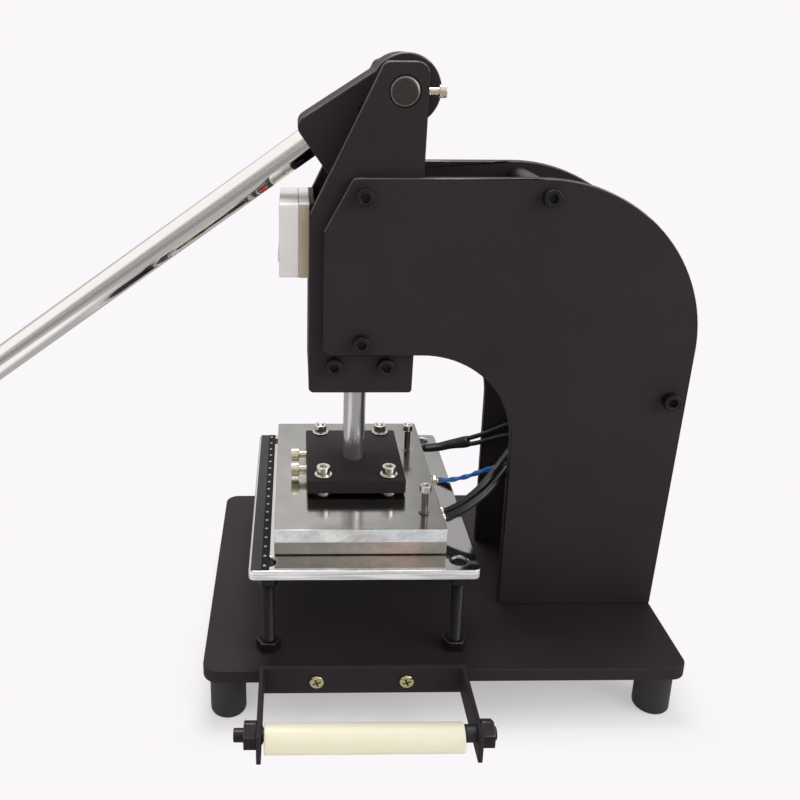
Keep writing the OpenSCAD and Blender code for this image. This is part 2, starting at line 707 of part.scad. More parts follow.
module controller_case() color(case_grey) placed() difference() {
    slab_x(ctrl_x, case_x) translate([0, ctrl_mid_z]) round_rect(ctrl_w, ctrl_h, 3);
    slab_x(ctrl_x + ctrl_wall, case_x + 1)
        translate([0, ctrl_mid_z]) square([ctrl_w - 2 * ctrl_wall, ctrl_h - 2 * ctrl_wall], center = true);
    slab_x(ctrl_x - 1, ctrl_x + ctrl_wall + 1) {
        translate([0, window_z]) square([window_w, window_h], center = true);
        for (y = key_y) translate([y, key_z]) circle(d = key_d + 2 * side_fit);
    }
}

module controller_window() color("#2a1416") placed() {
    slab_x(ctrl_x + 0.4, ctrl_x + ctrl_wall) translate([0, window_z])
        square([window_w, window_h], center = true);
    slab_x(ctrl_x + ctrl_wall, ctrl_x + ctrl_wall + 1)
        translate([0, window_z]) square([window_w + 4, window_h + 3], center = true);
}

// A key's collar moves between the case's front wall and the ledge of the back frame
module controller_key(i) color(case_beige) placed() translate([ctrl_x, key_y[i], key_z]) {
    bar_x(key_d, -key_out, ctrl_wall);
    bar_x(key_d + 2.4, ctrl_wall, ctrl_wall + key_collar);
}
module key_1() controller_key(0);
module key_2() controller_key(1);
module key_3() controller_key(2);
module key_4() controller_key(3);

// Rear panel and power

inlet_z = 34;
inlet_w = 31;
inlet_h = 24;
inlet_depth = 18;
switch_z = 74;
switch_w = 19;
switch_h = 28;
switch_depth = 16;
flange_out = 2;
rocker_pin_d = 3;
rocker_w = 12;

module rear_panel() color(coat_black) placed() difference() {
    union() {
        slab_x(rear_panel_x - sheet_t, rear_panel_x)
            translate([-frame_in + 0.2, 0]) square([2 * frame_in - 0.4, rear_panel_h]);
        translate([rear_panel_x - flange_l, -frame_in + 0.2, 0])
            cube([flange_l, 2 * frame_in - 0.4, sheet_t]);
    }
    at_rear_screws() screw_hole(rear_screw_d, sheet_t + 1);
    slab_x(rear_panel_x - sheet_t - 1, rear_panel_x + 1) {
        translate([0, inlet_z]) square([inlet_w - 4, inlet_h - 4], center = true);
        translate([0, switch_z]) square([switch_w - 4, switch_h - 4], center = true);
    }
}

module power_inlet() color(rubber_black) placed() difference() {
    translate([0, 0, inlet_z]) {
        slab_x(rear_panel_x, rear_panel_x + flange_out) round_rect(inlet_w, inlet_h, 2);
        slab_x(rear_panel_x - inlet_depth, rear_panel_x)
            square([inlet_w - 4.4, inlet_h - 4.4], center = true);
    }
    translate([0, 0, inlet_z]) slab_x(rear_panel_x - inlet_depth + 3, rear_panel_x + flange_out + 1)
        difference() {
        polygon(outline([[-12, -7, 1], [12, -7, 1], [12, 3, 1], [8, 7, 1], [-8, 7, 1], [-12, 3, 1]]));
        for (p = [[-7, -2], [0, 2], [7, -2]]) translate(p) square([2, 5], center = true);
    }
}

rocker_x = rear_panel_x + flange_out - 1;
rocker_open_h = 22;
module switch_housing() color(rubber_black) placed() translate([0, 0, switch_z]) difference() {
    union() {
        slab_x(rear_panel_x, rear_panel_x + flange_out) round_rect(switch_w, switch_h, 2);
        slab_x(rear_panel_x - switch_depth, rear_panel_x)
            square([switch_w - 4.4, switch_h - 4.4], center = true);
    }
    slab_x(rear_panel_x - 9, rear_panel_x + flange_out + 1)
        square([rocker_w + 2 * side_fit, rocker_open_h], center = true);
    translate([rocker_x, 0, 0]) bar_y(rocker_pin_d + 2 * run_fit, -rocker_w / 2 - 1, rocker_w / 2 + 1);
}

// The rocker turns on its own stub pins; at rest its upper half is pressed in
rocker_tilt = 9;
module switch_rocker() color("#2b2b2b") placed() translate([rocker_x, 0, switch_z]) {
    rotate([0, -rocker_tilt, 0]) slab_y(-rocker_w / 2, rocker_w / 2)
        polygon(outline([[-4, -5, 1], [-4, 5, 1], [0.5, 9.6, 1], [3.4, 9.6, 1], [2.2, 0, 0],
                        [3.4, -9.6, 1], [0.5, -9.6, 1]]));
    bar_y(rocker_pin_d, -rocker_w / 2 - 0.8, rocker_w / 2 + 0.8);
}

terminal_l = 24;
terminal_w = 44;
module terminal_block() color("#d8d2c4") placed() translate([terminal.x, terminal.y, 0]) difference() {
    linear_extrude(terminal.z) round_rect(terminal_l, terminal_w, 3);
    for (y = [-10, 0, 10]) translate([-terminal_l, y - 0.75, terminal.z - 9]) cube([2 * terminal_l, 1.5, 10]);
    for (y = [-15, -5, 5, 15], x = [-7, 7]) translate([x, y, terminal.z - 6]) cylinder(d = 4, h = 7);
}

// Table

module table_plate() color(alloy_grey) placed() difference() {
    translate([table_back, 0, table_z0]) linear_extrude(table_t) round_rect(table_l, table_w, table_corner_r);
    at_legs() translate([0, 0, table_h]) {
        screw_hole(leg_d, table_t + 1);
        translate([0, 0, -leg_chamfer])
            cylinder(d1 = leg_hole_d, d2 = leg_hole_d + 4 * leg_chamfer, h = 2 * leg_chamfer);
    }
}

module table_legs() color(steel_black) placed() at_legs()
    translate([0, 0, 0.5 - base_t]) cylinder(d = leg_d, h = table_h - leg_sink + base_t - 0.5);

module leg_nuts() color(steel_black) placed() at_legs() {
    hex_nut(leg_d, leg_nut_h);
    translate([0, 0, table_z0 - leg_nut_h]) hex_nut(leg_d, leg_nut_h);
}

module ruler_strip() color("#2c2c2e") placed()
    translate([table_back - table_l / 2 + ruler_inset, 1 - table_w / 2, table_h])
        cube([ruler_w, table_w - 2, ruler_t]);

// Foil roller

bracket_screw_d = 4;
bracket_screw_l = 14;

// Arm of the bracket, drawn as (y, z), cut square at its outer end
module arm_profile() difference() {
    translate([bracket_tip, bracket_mid_z - bracket_h / 2]) square([bracket_reach, bracket_h]);
    translate([axle_y, axle_z]) circle(d = axle_d + 2 * hole_fit);
}

module at_bracket_screws() for (x = [-1, 1] * bracket_screw_pitch / 2)
    translate([x, bracket_y - bracket_t, -bracket_screw_drop]) rotate([90, 0, 0]) children();

module roller_bracket() color(coat_black) placed() difference() {
    union() {
        slab_x(arm_in0 - bracket_t, arm_in0) arm_profile();
        slab_x(arm_in1, arm_in1 + bracket_t) arm_profile();
        translate([arm_in0 - bracket_t, bracket_y - bracket_t, bracket_mid_z - bracket_h / 2])
            cube([arm_in1 - arm_in0 + 2 * bracket_t, bracket_t, bracket_h]);
    }
    at_bracket_screws() screw_hole(bracket_screw_d, bracket_t + 1);
}

// Pan head screws with a crossed recess
pan_d = 8;
pan_h = 2.6;
module pan_screw(d, l) {
    difference() {
        intersection() {
            cylinder(d = pan_d, h = pan_h);
            translate([0, 0, pan_h - pan_d]) sphere(pan_d);
        }
        for (a = [0, 90]) rotate(a) translate([-pan_d * 0.3, -0.5, pan_h - 1.4]) cube([pan_d * 0.6, 1, 2]);
    }
    translate([0, 0, -l]) cylinder(d = d, h = l);
}
module bracket_screws() color(brass_yellow) placed() at_bracket_screws() rotate(20)
    pan_screw(bracket_screw_d, bracket_t + bracket_screw_l - 1);

module on_axle() translate([0, axle_y, axle_z]) children();

module roller_axle() color(steel_black) placed() on_axle()
    bar_x(axle_d, arm_in0 - bracket_t - axle_stub, arm_in1 + bracket_t + axle_end);

module axle_nuts() color(steel_black) placed() on_axle()
    for (x = [arm_in0 - bracket_t - axle_nut_h, arm_in1 + bracket_t])
        translate([x, 0, 0]) rotate([0, 90, 0]) hex_nut(axle_d, axle_nut_h, axle_nut_af);

module axle_spacer(x0, x1) difference() {
    bar_x(axle_d + 2, x0, x1);
    bar_x(axle_d + 2 * hole_fit, x0 - 1, x1 + 1);
}
module axle_spacers() color(rubber_black) placed() on_axle() {
    axle_spacer(arm_in0, roller_x0 - 2 * side_fit);
    axle_spacer(roller_x1 + 2 * side_fit, arm_in1);
}

// The roller is a loose tube: its bore rests on top of the thinner axle
roller_edge = 0.6;
module foil_roller() color(ivory) placed() translate([0, axle_y, roller_z]) difference() {
    translate([roller_x0, 0, 0]) rotate([0, 90, 0]) rotate_extrude() polygon(outline([
        [0, 0, 0], [roller_d / 2, 0, roller_edge], [roller_d / 2, roller_l, roller_edge], [0, roller_l, 0]]));
    bar_x(roller_bore, roller_x0 - 1, roller_x1 + 1);
}

// Lever

// The yoke swings through this pocket, open below, as the lever turns about its pin
pocket_back = 0.1 * block_r;
pocket_lip = 0.55 * block_r;
pocket_toe = 0.3 * block_r;
pocket_step = 0.4 * block_r;
pocket_under = 0.2 * block_r;
module pocket_profile() polygon([
    [pocket_back, -block_r - pocket_under], [pocket_back, pocket_roof], [block_reach / 2 + 1, pocket_roof],
    [block_reach - pocket_lip, pocket_step - block_r], [block_reach - pocket_toe, -block_r - pocket_under]]);

// Drive pin in lever coordinates
drive_u = drive_arm * cos(lever_tilt - drive_angle);
drive_n = drive_arm * sin(lever_tilt - drive_angle);

block_corner_r = 6.5;
round_mid = -round_back * [cos(lever_tilt), sin(lever_tilt)];
module lever_block() color(coat_black) placed() on_lever() difference() {
    slab_y(-block_w / 2, block_w / 2) {
        translate(round_mid) circle(block_r, $fn = 96);
        polygon(outline([[round_mid.x, round_mid.y - block_r, 0], [block_reach, -block_r, block_corner_r],
                         [block_reach, block_r, block_corner_r], [0, block_r - block_fall, 0]]));
    }
    bar_y(pin_d + 2 * run_fit, -block_w / 2 - 1, block_w / 2 + 1);
    slab_y(-pocket_w / 2, pocket_w / 2) pocket_profile();
    translate([drive_u, 0, drive_n]) bar_y(drive_pin_d + 2 * hole_fit, -block_w / 2 - 1, block_w / 2 + 1);
    translate([0, 0, rod_rise]) bar_x(rod_d + 2 * hole_fit, rod_u0, block_reach + 1);
}

module drive_pin() color(steel_black) placed() on_lever() translate([drive_u, 0, drive_n])
    bar_y(drive_pin_d, 0.2 - block_w / 2, block_w / 2 - 0.2);

pin_chamfer = 1.2;
pin_out = 0.6;
module pivot_pin() color(steel_black) placed() translate([pivot_x, frame_in + pin_out, pivot_z])
    rotate([90, 0, 0])
    rotate_extrude() polygon(let (l = 2 * (frame_in + pin_out), r = pin_d / 2) [
        [0, 0], [r - pin_chamfer, 0], [r, pin_chamfer], [r, l - pin_chamfer], [r - pin_chamfer, l], [0, l]]);

pin_spacer_rim = 4;
module pivot_spacers() color(steel_black) placed() both_sides() translate([pivot_x, 0, pivot_z])
    difference() {
    bar_y(pin_d + 2 * pin_spacer_rim, -cheek_in, -block_w / 2 - side_fit);
    bar_y(pin_d + 2 * hole_fit, -cheek_in - 1, 0);
}

// The lock screw stands out of the ear's rear edge and bears on the pin
lock_screw_out = 5.6;
lock_screw_l = ear_back + lock_screw_out - pivot_x - pin_d / 2 - 0.05;
module pin_lock_screw() color(alloy_grey) placed()
    translate([ear_back + lock_screw_out, -cheek_mid, pivot_z]) rotate([0, 90, 0])
        cap_screw(lock_screw_d, lock_screw_l);

module lever_rod() color(chrome_grey) placed() on_lever() translate([0, 0, rod_rise])
    bar_x(rod_d, rod_u0, rod_u1);

grip_groove = 1;
module lever_grip() color(rubber_black) placed() on_lever() translate([grip_u1 - grip_l, 0, rod_rise])
    rotate([0, 90, 0])
    rotate_extrude() difference() {
        union() {
            square([grip_d / 2, grip_l - grip_d / 2]);
            intersection() {
                translate([0, grip_l - grip_d / 2]) circle(d = grip_d);
                square([grip_d, grip_l]);
            }
        }
        translate([0, -1]) square([rod_d / 2 + hole_fit, grip_l - grip_cap + 1]);
        for (z = [12:8:grip_l - grip_d]) translate([grip_d / 2, z]) circle(grip_groove);
    }

// Ram

stud_d = 8;
stud_l = 12;
ram_bore_l = 16;
module ram_shaft() color(chrome_grey) placed() difference() {
    union() {
        translate([0, 0, ram_plate_z1 - ram_seat]) cylinder(d = ram_d, h = yoke_z0 - ram_plate_z1 + ram_seat);
        translate([0, 0, yoke_z0]) cylinder(d = stud_d, h = stud_l);
    }
    translate([0, 0, ram_plate_z1 - ram_seat]) rotate([180, 0, 0]) screw_hole(ram_screw_d, ram_bore_l);
}

module ram_yoke() color(steel_black) placed() difference() {
    slab_y(-yoke_w / 2, yoke_w / 2) difference() {
        polygon(outline([[-yoke_l / 2, yoke_z0, 1], [-yoke_l / 2, yoke_z1, yoke_corner_r],
                         [yoke_l / 2, yoke_z1, yoke_corner_r], [yoke_l / 2, yoke_z0, 1]]));
        translate([slot_x0 + slot_h / 2, drive_z - slot_h / 2]) square([slot_x1 - slot_x0 - slot_h, slot_h]);
        for (x = [slot_x0 + slot_h / 2, slot_x1 - slot_h / 2]) translate([x, drive_z]) circle(d = slot_h);
    }
    translate([0, 0, yoke_z0 - 1]) cylinder(d = stud_d + 2 * hole_fit, h = stud_l + 1.5);
}

// Countersunk screw that holds the ram plate on the ram
ram_screw_d = 6;
ram_screw_head = 11;
module ram_screw() color(steel_black) placed() translate([0, 0, ram_plate_z0]) difference() {
    union() {
        cylinder(d1 = ram_screw_head, d2 = ram_screw_d, h = (ram_screw_head - ram_screw_d) / 2);
        cylinder(d = ram_screw_d, h = ram_plate_t - ram_seat + 15);
    }
    translate([0, 0, -1]) cylinder(d = 4 / cos(30), h = 2.8, $fn = 6);
}

plate_lock_y = [10.5, -10.5];
plate_lock_d = 5;
plate_lock_bite = 8;
plate_lock_out = 5;
module at_plate_locks() for (y = plate_lock_y)
    translate([-ram_plate_l / 2, y, (ram_plate_z0 + ram_plate_z1) / 2]) rotate([0, -90, 0]) children();

module ram_plate() color(coat_black) placed() difference() {
    translate([0, ram_plate_side, ram_plate_z0]) linear_extrude(ram_plate_t)
        round_rect(ram_plate_l, ram_plate_w, 1.5);
    translate([0, 0, ram_plate_z1 - ram_seat]) cylinder(d = ram_d + 2 * hole_fit, h = ram_seat + 1);
    translate([0, 0, ram_plate_z0]) {
        translate([0, 0, -1]) cylinder(d = ram_screw_d + 2 * hole_fit, h = ram_plate_t + 1);
        cylinder(d1 = ram_screw_head + 4 * hole_fit, d2 = ram_screw_d + 2 * hole_fit,
                 h = (ram_screw_head - ram_screw_d) / 2 + hole_fit);
    }
    at_plate_screws() translate([0, 0, ram_plate_z1]) screw_hole(plate_screw_d, ram_plate_t + 1);
    at_plate_locks() screw_hole(plate_lock_d, plate_lock_bite);
}

module plate_lock_screws() color(brass_yellow) placed() at_plate_locks()
    translate([0, 0, plate_lock_out]) cap_screw(plate_lock_d, plate_lock_out + plate_lock_bite - 1);

module plate_screws() color(alloy_grey) placed() at_plate_screws() translate([0, 0, ram_plate_z1 + washer_t])
    cap_screw(plate_screw_d, washer_t + ram_plate_t + spacer_h + heater_t - 2);

module ring(d, h) difference() {
    cylinder(d = d, h = h);
    translate([0, 0, -1]) cylinder(d = plate_screw_d + 2 * hole_fit, h = h + 2);
}
module plate_washers() color(alloy_grey) placed() at_plate_screws() translate([0, 0, ram_plate_z1])
    ring(washer_d, washer_t);
module plate_spacers() color(alloy_grey) placed() at_plate_screws() translate([0, 0, heater_z1])
    ring(washer_d, spacer_h);

// Heater and die

heater_mid_z = (heater_z0 + heater_z1) / 2;
module at_die_screws() for (p = die_screws) translate([p.x, p.y, heater_z1]) children();

module heater_block() color(alloy_grey) placed() difference() {
    translate([-heater_l / 2, -heater_w / 2, heater_z0]) cube([heater_l, heater_w, heater_t]);
    for (b = heater_bores) translate([heater_l / 2, b[0], heater_mid_z])
        bar_x(cartridge_d + 2 * hole_fit, -b[1], 1);
    translate([0, sensor_y, heater_mid_z])
        bar_x(sensor_d + 2 * hole_fit, heater_l / 2 - sensor_l, heater_l / 2 + 1);
    at_plate_screws() translate([0, 0, heater_z1]) screw_hole(plate_screw_d, heater_t - 1.5);
    at_die_screws() {
        screw_hole(die_screw_d, heater_t + 1);
        translate([0, 0, -die_chamfer])
            cylinder(d1 = die_hole_d, d2 = die_hole_d + 4 * die_chamfer, h = 2 * die_chamfer);
    }
}

// Two cartridge heaters and the short earth stud, each with a collar where its lead begins
module heater_cartridges() color(alloy_grey) placed()
    for (b = heater_bores) translate([heater_l / 2, b[0], heater_mid_z]) {
        bar_x(cartridge_d, 0.5 - b[1], 0);
        bar_x(cartridge_d + 0.6, 0, cartridge_out);
    }

module thermocouple() color(brass_yellow) placed() translate([heater_l / 2, sensor_y, heater_mid_z]) {
    bar_x(sensor_d, 0.5 - sensor_l, sensor_neck_l + sensor_nut_l + sensor_tail_l);
    translate([sensor_neck_l, 0, 0]) rotate([0, 90, 0])
        cylinder(d = sensor_nut_d / cos(30), h = sensor_nut_l, $fn = 6);
}

module die_plate() color(alloy_grey) placed() difference() {
    translate([-heater_l / 2, -heater_w / 2, die_z0]) cube([heater_l, heater_w, die_t]);
    at_die_screws() translate([0, 0, heater_z0 - heater_z1]) screw_hole(die_screw_d, die_t - 1.5);
}

module die_plate_screws() color(alloy_grey) placed() at_die_screws()
    translate([0, 0, die_screw_rise - die_screw_d])
        cap_screw(die_screw_d, die_screw_rise - die_screw_d + heater_t + die_t - 2);

// Leads

module heater_lead_far() color(rubber_black) placed() {
    tube(lead_far, far_lead_d, 10);
    tube(lead_far_low, far_lead_d, 10);
}
module heater_leads_near() color(rubber_black) placed() {
    tube(lead_near, heater_lead_d, 10);
    tube(lead_earth, heater_lead_d, 10);
}
module thermocouple_wire() color(wire_blue) placed() tube(sensor_wire, sensor_wire_d, 8);

base_plate();
rubber_feet();
foot_screws();
side_plate_right();
side_plate_left();
base_screws();
head_cheek_right();
head_cheek_left();
lower_guide();
upper_guide();
ram_bushes();
tie_bars();
frame_screws();
front_panel();
panel_screws();
rear_panel();
power_inlet();
switch_housing();
switch_rocker();
terminal_block();
controller_back();
controller_case();
controller_window();
key_1();
key_2();
key_3();
key_4();
table_plate();
table_legs();
leg_nuts();
ruler_strip();
roller_bracket();
bracket_screws();
roller_axle();
axle_nuts();
axle_spacers();
foil_roller();
lever_block();
drive_pin();
pivot_pin();
pivot_spacers();
pin_lock_screw();
lever_rod();
lever_grip();
ram_shaft();
ram_yoke();
ram_screw();
ram_plate();
plate_lock_screws();
plate_screws();
plate_washers();
plate_spacers();
heater_block();
heater_cartridges();
thermocouple();
die_plate();
die_plate_screws();
heater_lead_far();
heater_leads_near();
thermocouple_wire();
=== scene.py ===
import json
from math import cos, pi, radians, sin

import bmesh
import bpy
from mathutils import Matrix, Vector

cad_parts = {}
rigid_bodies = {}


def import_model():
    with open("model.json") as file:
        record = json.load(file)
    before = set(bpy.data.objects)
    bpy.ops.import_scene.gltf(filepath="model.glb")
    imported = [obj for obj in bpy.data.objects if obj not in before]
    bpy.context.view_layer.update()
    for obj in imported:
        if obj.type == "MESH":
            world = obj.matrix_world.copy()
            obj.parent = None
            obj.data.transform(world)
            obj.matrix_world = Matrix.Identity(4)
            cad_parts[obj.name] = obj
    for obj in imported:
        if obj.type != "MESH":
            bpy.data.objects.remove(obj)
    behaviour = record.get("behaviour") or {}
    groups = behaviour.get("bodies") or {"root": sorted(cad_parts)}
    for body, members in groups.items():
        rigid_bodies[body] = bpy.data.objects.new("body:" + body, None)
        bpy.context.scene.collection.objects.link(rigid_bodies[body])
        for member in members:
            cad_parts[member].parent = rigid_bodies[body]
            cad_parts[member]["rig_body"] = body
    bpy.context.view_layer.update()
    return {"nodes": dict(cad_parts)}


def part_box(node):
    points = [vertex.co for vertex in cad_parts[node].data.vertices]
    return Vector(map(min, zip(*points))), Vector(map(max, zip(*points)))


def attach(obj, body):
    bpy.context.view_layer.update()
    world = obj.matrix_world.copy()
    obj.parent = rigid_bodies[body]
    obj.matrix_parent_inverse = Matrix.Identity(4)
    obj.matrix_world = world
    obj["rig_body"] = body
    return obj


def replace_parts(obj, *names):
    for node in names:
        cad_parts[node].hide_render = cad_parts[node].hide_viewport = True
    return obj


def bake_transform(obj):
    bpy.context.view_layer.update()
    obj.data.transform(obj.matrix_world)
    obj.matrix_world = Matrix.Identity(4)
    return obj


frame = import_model()

# Camera: at the machine's right side, a little over the lever's height and half a metre off.
# Points below are given as on the drawing, in mm from the ram's axis and the top of the base plate.
shaft_low, shaft_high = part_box("ram_shaft")
ram_axis = (shaft_low + shaft_high) / 2
base_low, base_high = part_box("base_plate")


def from_ram(x, y, z):
    return Vector((ram_axis.x + x / 1000, ram_axis.y + y / 1000, base_high.z + z / 1000))


camera = bpy.data.objects.new("camera", bpy.data.cameras.new("camera"))
bpy.context.scene.collection.objects.link(camera)
camera.data.sensor_width = 36
camera.data.lens = 39.8
camera.data.shift_x = 0.1108
camera.data.shift_y = -0.1011
pan = Matrix.Rotation(radians(-1.14), 4, "Z")
tilt = Matrix.Rotation(radians(-17.53), 4, "X")
roll = Matrix.Rotation(radians(-0.39), 4, "Y")
level_view = Matrix.Rotation(radians(90), 4, "X")
turn = pan @ tilt @ roll @ level_view
camera.matrix_world = Matrix.Translation(from_ram(-38.32, -522.01, 343.06)) @ turn
bpy.context.scene.camera = camera
bpy.context.scene.view_settings.view_transform = "Standard"

# Heater leads: copper wire in black silicone-coated glass sleeving, pushed on the heater's stubs.
# They rise in an easy bow, pass between the side plates and drop to the terminal block.


def linear(code):
    """A linear colour from its sRGB hex code."""
    parts = [int(code[i:i + 2], 16) / 255 for i in (1, 3, 5)]
    return [c / 12.92 if c <= 0.04045 else ((c + 0.055) / 1.055) ** 2.4 for c in parts] + [1.0]


def add_node(tree, kind, sockets, out=None, to=None, **settings):
    """A node with its settings and links. Gives its output of that name, or else the first that is in use."""
    node = tree.nodes.new(kind)
    for name, value in settings.items():
        setattr(node, name, value)
    for socket, value in sockets.items():
        if isinstance(value, bpy.types.NodeSocket):
            tree.links.new(value, node.inputs[socket])
        else:
            node.inputs[socket].default_value = value
    result = node.outputs[out] if out else next(socket for socket in node.outputs if socket.enabled)
    if to:
        tree.links.new(result, to)
    return result


def new_finish(name, surface):
    """A finish with what is the same all over it. Gives it with its node tree and its shader."""
    finish = bpy.data.materials.new(name)
    finish.use_nodes = True
    coat = finish.node_tree.nodes["Principled BSDF"]
    for socket, value in surface.items():
        coat.inputs[socket].default_value = value
    return finish, finish.node_tree, coat


# Sleeving: a tight black braid under a thin coat, so a half-gloss black with a faint crossed ripple.
# The braid's threads are drawn 0.7 mm apart, coarser than life, so that they show.
sleeving, tree, coat = new_finish("black_coated_sleeving", {"Roughness": 0.34})
place = add_node(tree, "ShaderNodeTexCoord", {}, out="Object")
braid = add_node(tree, "ShaderNodeTexVoronoi", {"Vector": place, "Scale": 1000 / 0.7})
add_node(tree, "ShaderNodeMix", {"Factor": braid, 6: linear("#0d0c0c"), 7: linear("#191717")},
         to=coat.inputs["Base Color"], data_type="RGBA")
add_node(tree, "ShaderNodeBump", {"Height": braid, "Strength": 0.25, "Distance": 0.0002},
         to=coat.inputs["Normal"])

# Each stretch of a route, from point to point, is drawn in five steps.
route_steps = 5


def smooth_route(route):
    """Points of a soft curve through the route's points, without overshoot at its ends."""
    points = [from_ram(*point) for point in route]
    p = [points[0] * 2 - points[1]] + points + [points[-1] * 2 - points[-2]]
    line = []
    for i in range(1, len(p) - 2):
        for k in range(route_steps):
            t = k / route_steps
            line.append(((p[i] * 2) + (p[i + 1] - p[i - 1]) * t
                         + (p[i - 1] * 2 - p[i] * 5 + p[i + 1] * 4 - p[i + 2]) * t * t
                         + (p[i] * 3 - p[i - 1] - p[i + 1] * 3 + p[i + 2]) * t ** 3) / 2)
    return line + [points[-1]]


def skin(bm, rings):
    """Faces over a row of rings, closed at both ends and facing out."""
    for a, b in zip(rings, rings[1:]):
        for k in range(len(a)):
            after = (k + 1) % len(a)
            bm.faces.new((a[k], b[k], b[after], a[after]))
    bm.faces.new(rings[0])
    bm.faces.new(list(reversed(rings[-1])))
    bmesh.ops.recalc_face_normals(bm, faces=bm.faces)


def add_piece(name, bm, finish, body=None, smooth=False):
    """A new piece of one finish from a finished mesh, riding on a body if one is named."""
    mesh = bpy.data.meshes.new(name)
    bm.to_mesh(mesh)
    bm.free()
    mesh.materials.append(finish)
    if smooth:
        mesh.shade_smooth()
    piece = bpy.data.objects.new(name, mesh)
    bpy.context.scene.collection.objects.link(piece)
    if body:
        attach(piece, body)
    return piece


# The leads are fixed pieces, tied to no body, so they stay where they are drawn when the ram moves.
# A twisted pair is drawn in between its two wires, to 0.7 of its width.
pair_waist = 0.7


def swept_lead(name, route, diameter, finish, sides=20, twist=0):
    """A lead along the route, closed at both ends: round, or two wires that turn once in each twist mm."""
    line = smooth_route(route)
    bm = bmesh.new()
    rings = []
    run = 0
    for i, p in enumerate(line):
        before, after = line[max(i - 1, 0)], line[min(i + 1, len(line) - 1)]
        run += (p - before).length * 1000
        along = (after - before).normalized()
        across = along.cross(Vector((0, 1, 0))).normalized()
        third = across.cross(along)
        rings.append([])
        for k in range(sides):
            a = 2 * pi * k / sides
            reach = diameter / 2
            if twist:
                reach *= max(abs(cos(a - 2 * pi * run / twist)), pair_waist)
            rings[-1].append(bm.verts.new(p + (across * cos(a) + third * sin(a)) * reach))
    skin(bm, rings)
    piece = add_piece(name, bm, finish, smooth=True)
    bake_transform(piece)
    return piece


far_diameter, near_diameter = 0.0032, 0.0042
far_route = [
    (52.4, 43.5, 70.2), (55, 43.5, 70), (63, 42.9, 71.3), (70.5, 41, 74.4), (79, 37.2, 78.6),
    (87, 32.4, 83.6), (94, 27, 89.1), (100, 22.5, 94.6), (106, 19, 99), (113, 17, 99.5),
    (119, 17, 95), (123, 17, 86), (126, 17, 74), (127, 17, 63), (127, 17, 52),
    (127, 17, 41), (127, 17, 30)]
return_route = [
    (52.4, 40.1, 70.2), (55, 40.1, 70), (63, 39.3, 71.2), (70.5, 37.2, 73.9), (79, 33.2, 76.7),
    (87, 28.7, 80.3), (94, 23.7, 85.2), (100, 19, 89.6), (106, 15.5, 92.5), (113, 13, 92.5),
    (119, 13, 88), (123, 13, 80), (126, 13, 69), (127, 13, 58), (127, 13, 48),
    (127, 13, 39), (127, 13, 30)]
near_route = [
    (52.4, -46, 70.2), (54, -46, 70.4), (61, -45.5, 73.9), (68, -43, 78), (76, -38.5, 82.9),
    (82, -33.5, 87), (88, -27.5, 90.8), (93, -22, 93.8), (99, -15.5, 97), (106, -9, 97.2),
    (113, -6, 93), (119, -5, 85), (123, -5, 75), (126, -5, 63), (127, -5, 52),
    (127, -5, 41), (127, -5, 30)]
earth_route = [
    (52.4, -54, 70.2), (54, -54, 70.4), (61, -53, 74), (68, -50, 77.1), (76, -45, 80.6),
    (82, -39.5, 83.3), (88, -33, 86.2), (94, -27, 90), (100, -22, 93.6), (107, -18, 94),
    (114, -15.5, 90), (119, -15, 82), (123, -15, 72), (126, -15, 61), (127, -15, 50),
    (127, -15, 40), (127, -15, 30)]

# Shrink sleeve: a black polyolefin tube shrunk over the far pair, from the heater to where the leads part.
# It is flat like the pair in it, and its two lips are drawn in.


def patches(tree, size, detail=3, grain=0.5, stretch=None):
    """Soft patches of a size in mm all over a piece, from 0 to 1. A stretch draws them out to marks."""
    place = add_node(tree, "ShaderNodeTexCoord", {}, out="Object")
    if stretch:
        place = add_node(tree, "ShaderNodeMapping", {"Vector": place, "Scale": stretch})
    return add_node(tree, "ShaderNodeTexNoise",
                    {"Vector": place, "Scale": 1000 / size, "Detail": detail, "Roughness": grain})


def clouded(tree, coat, size, dark, light, **pattern):
    """A finish whose colour drifts between two tones over patches of a size in mm. Gives the drift."""
    drift = patches(tree, size, **pattern)
    add_node(tree, "ShaderNodeMix", {"Factor": drift, 6: linear(dark), 7: linear(light)},
             to=coat.inputs["Base Color"], data_type="RGBA")
    return drift


# Polyolefin: a smooth, nearly matt black, greyer where it is drawn tight over the leads.
shrink_sleeve, tree, coat = new_finish(
    "black_polyolefin_sleeve", {"Roughness": 0.4, "Specular IOR Level": 0.22})
clouded(tree, coat, 4, "#0b0a0a", "#161414")
sleeve_wall, sleeve_sides = 0.0009, 28
sleeve_points, sleeve_rings = 6, 23
lips = (0.35, 0.8, 1.0)
strands = [smooth_route(route[:sleeve_points]) for route in (far_route, return_route)]
pair = list(zip(*strands))[:sleeve_rings]
bm = bmesh.new()
rings = []
for i, (a, b) in enumerate(pair):
    before, after = pair[max(i - 1, 0)], pair[min(i + 1, len(pair) - 1)]
    along = (after[0] + after[1] - before[0] - before[1]).normalized()
    wide = (b - a).normalized()
    third = along.cross(wide).normalized()
    from_lip = min(i, len(pair) - 1 - i, len(lips) - 1)
    reach = far_diameter / 2 + sleeve_wall * lips[from_lip]
    rings.append([])
    for k in range(sleeve_sides):
        turn = 2 * pi * k / sleeve_sides
        edge = wide * cos(turn) * ((b - a).length / 2 + reach) + third * sin(turn) * reach
        rings[-1].append(bm.verts.new((a + b) / 2 + edge))
skin(bm, rings)
lead_sleeve = add_piece("lead_sleeve", bm, shrink_sleeve, smooth=True)
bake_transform(lead_sleeve)

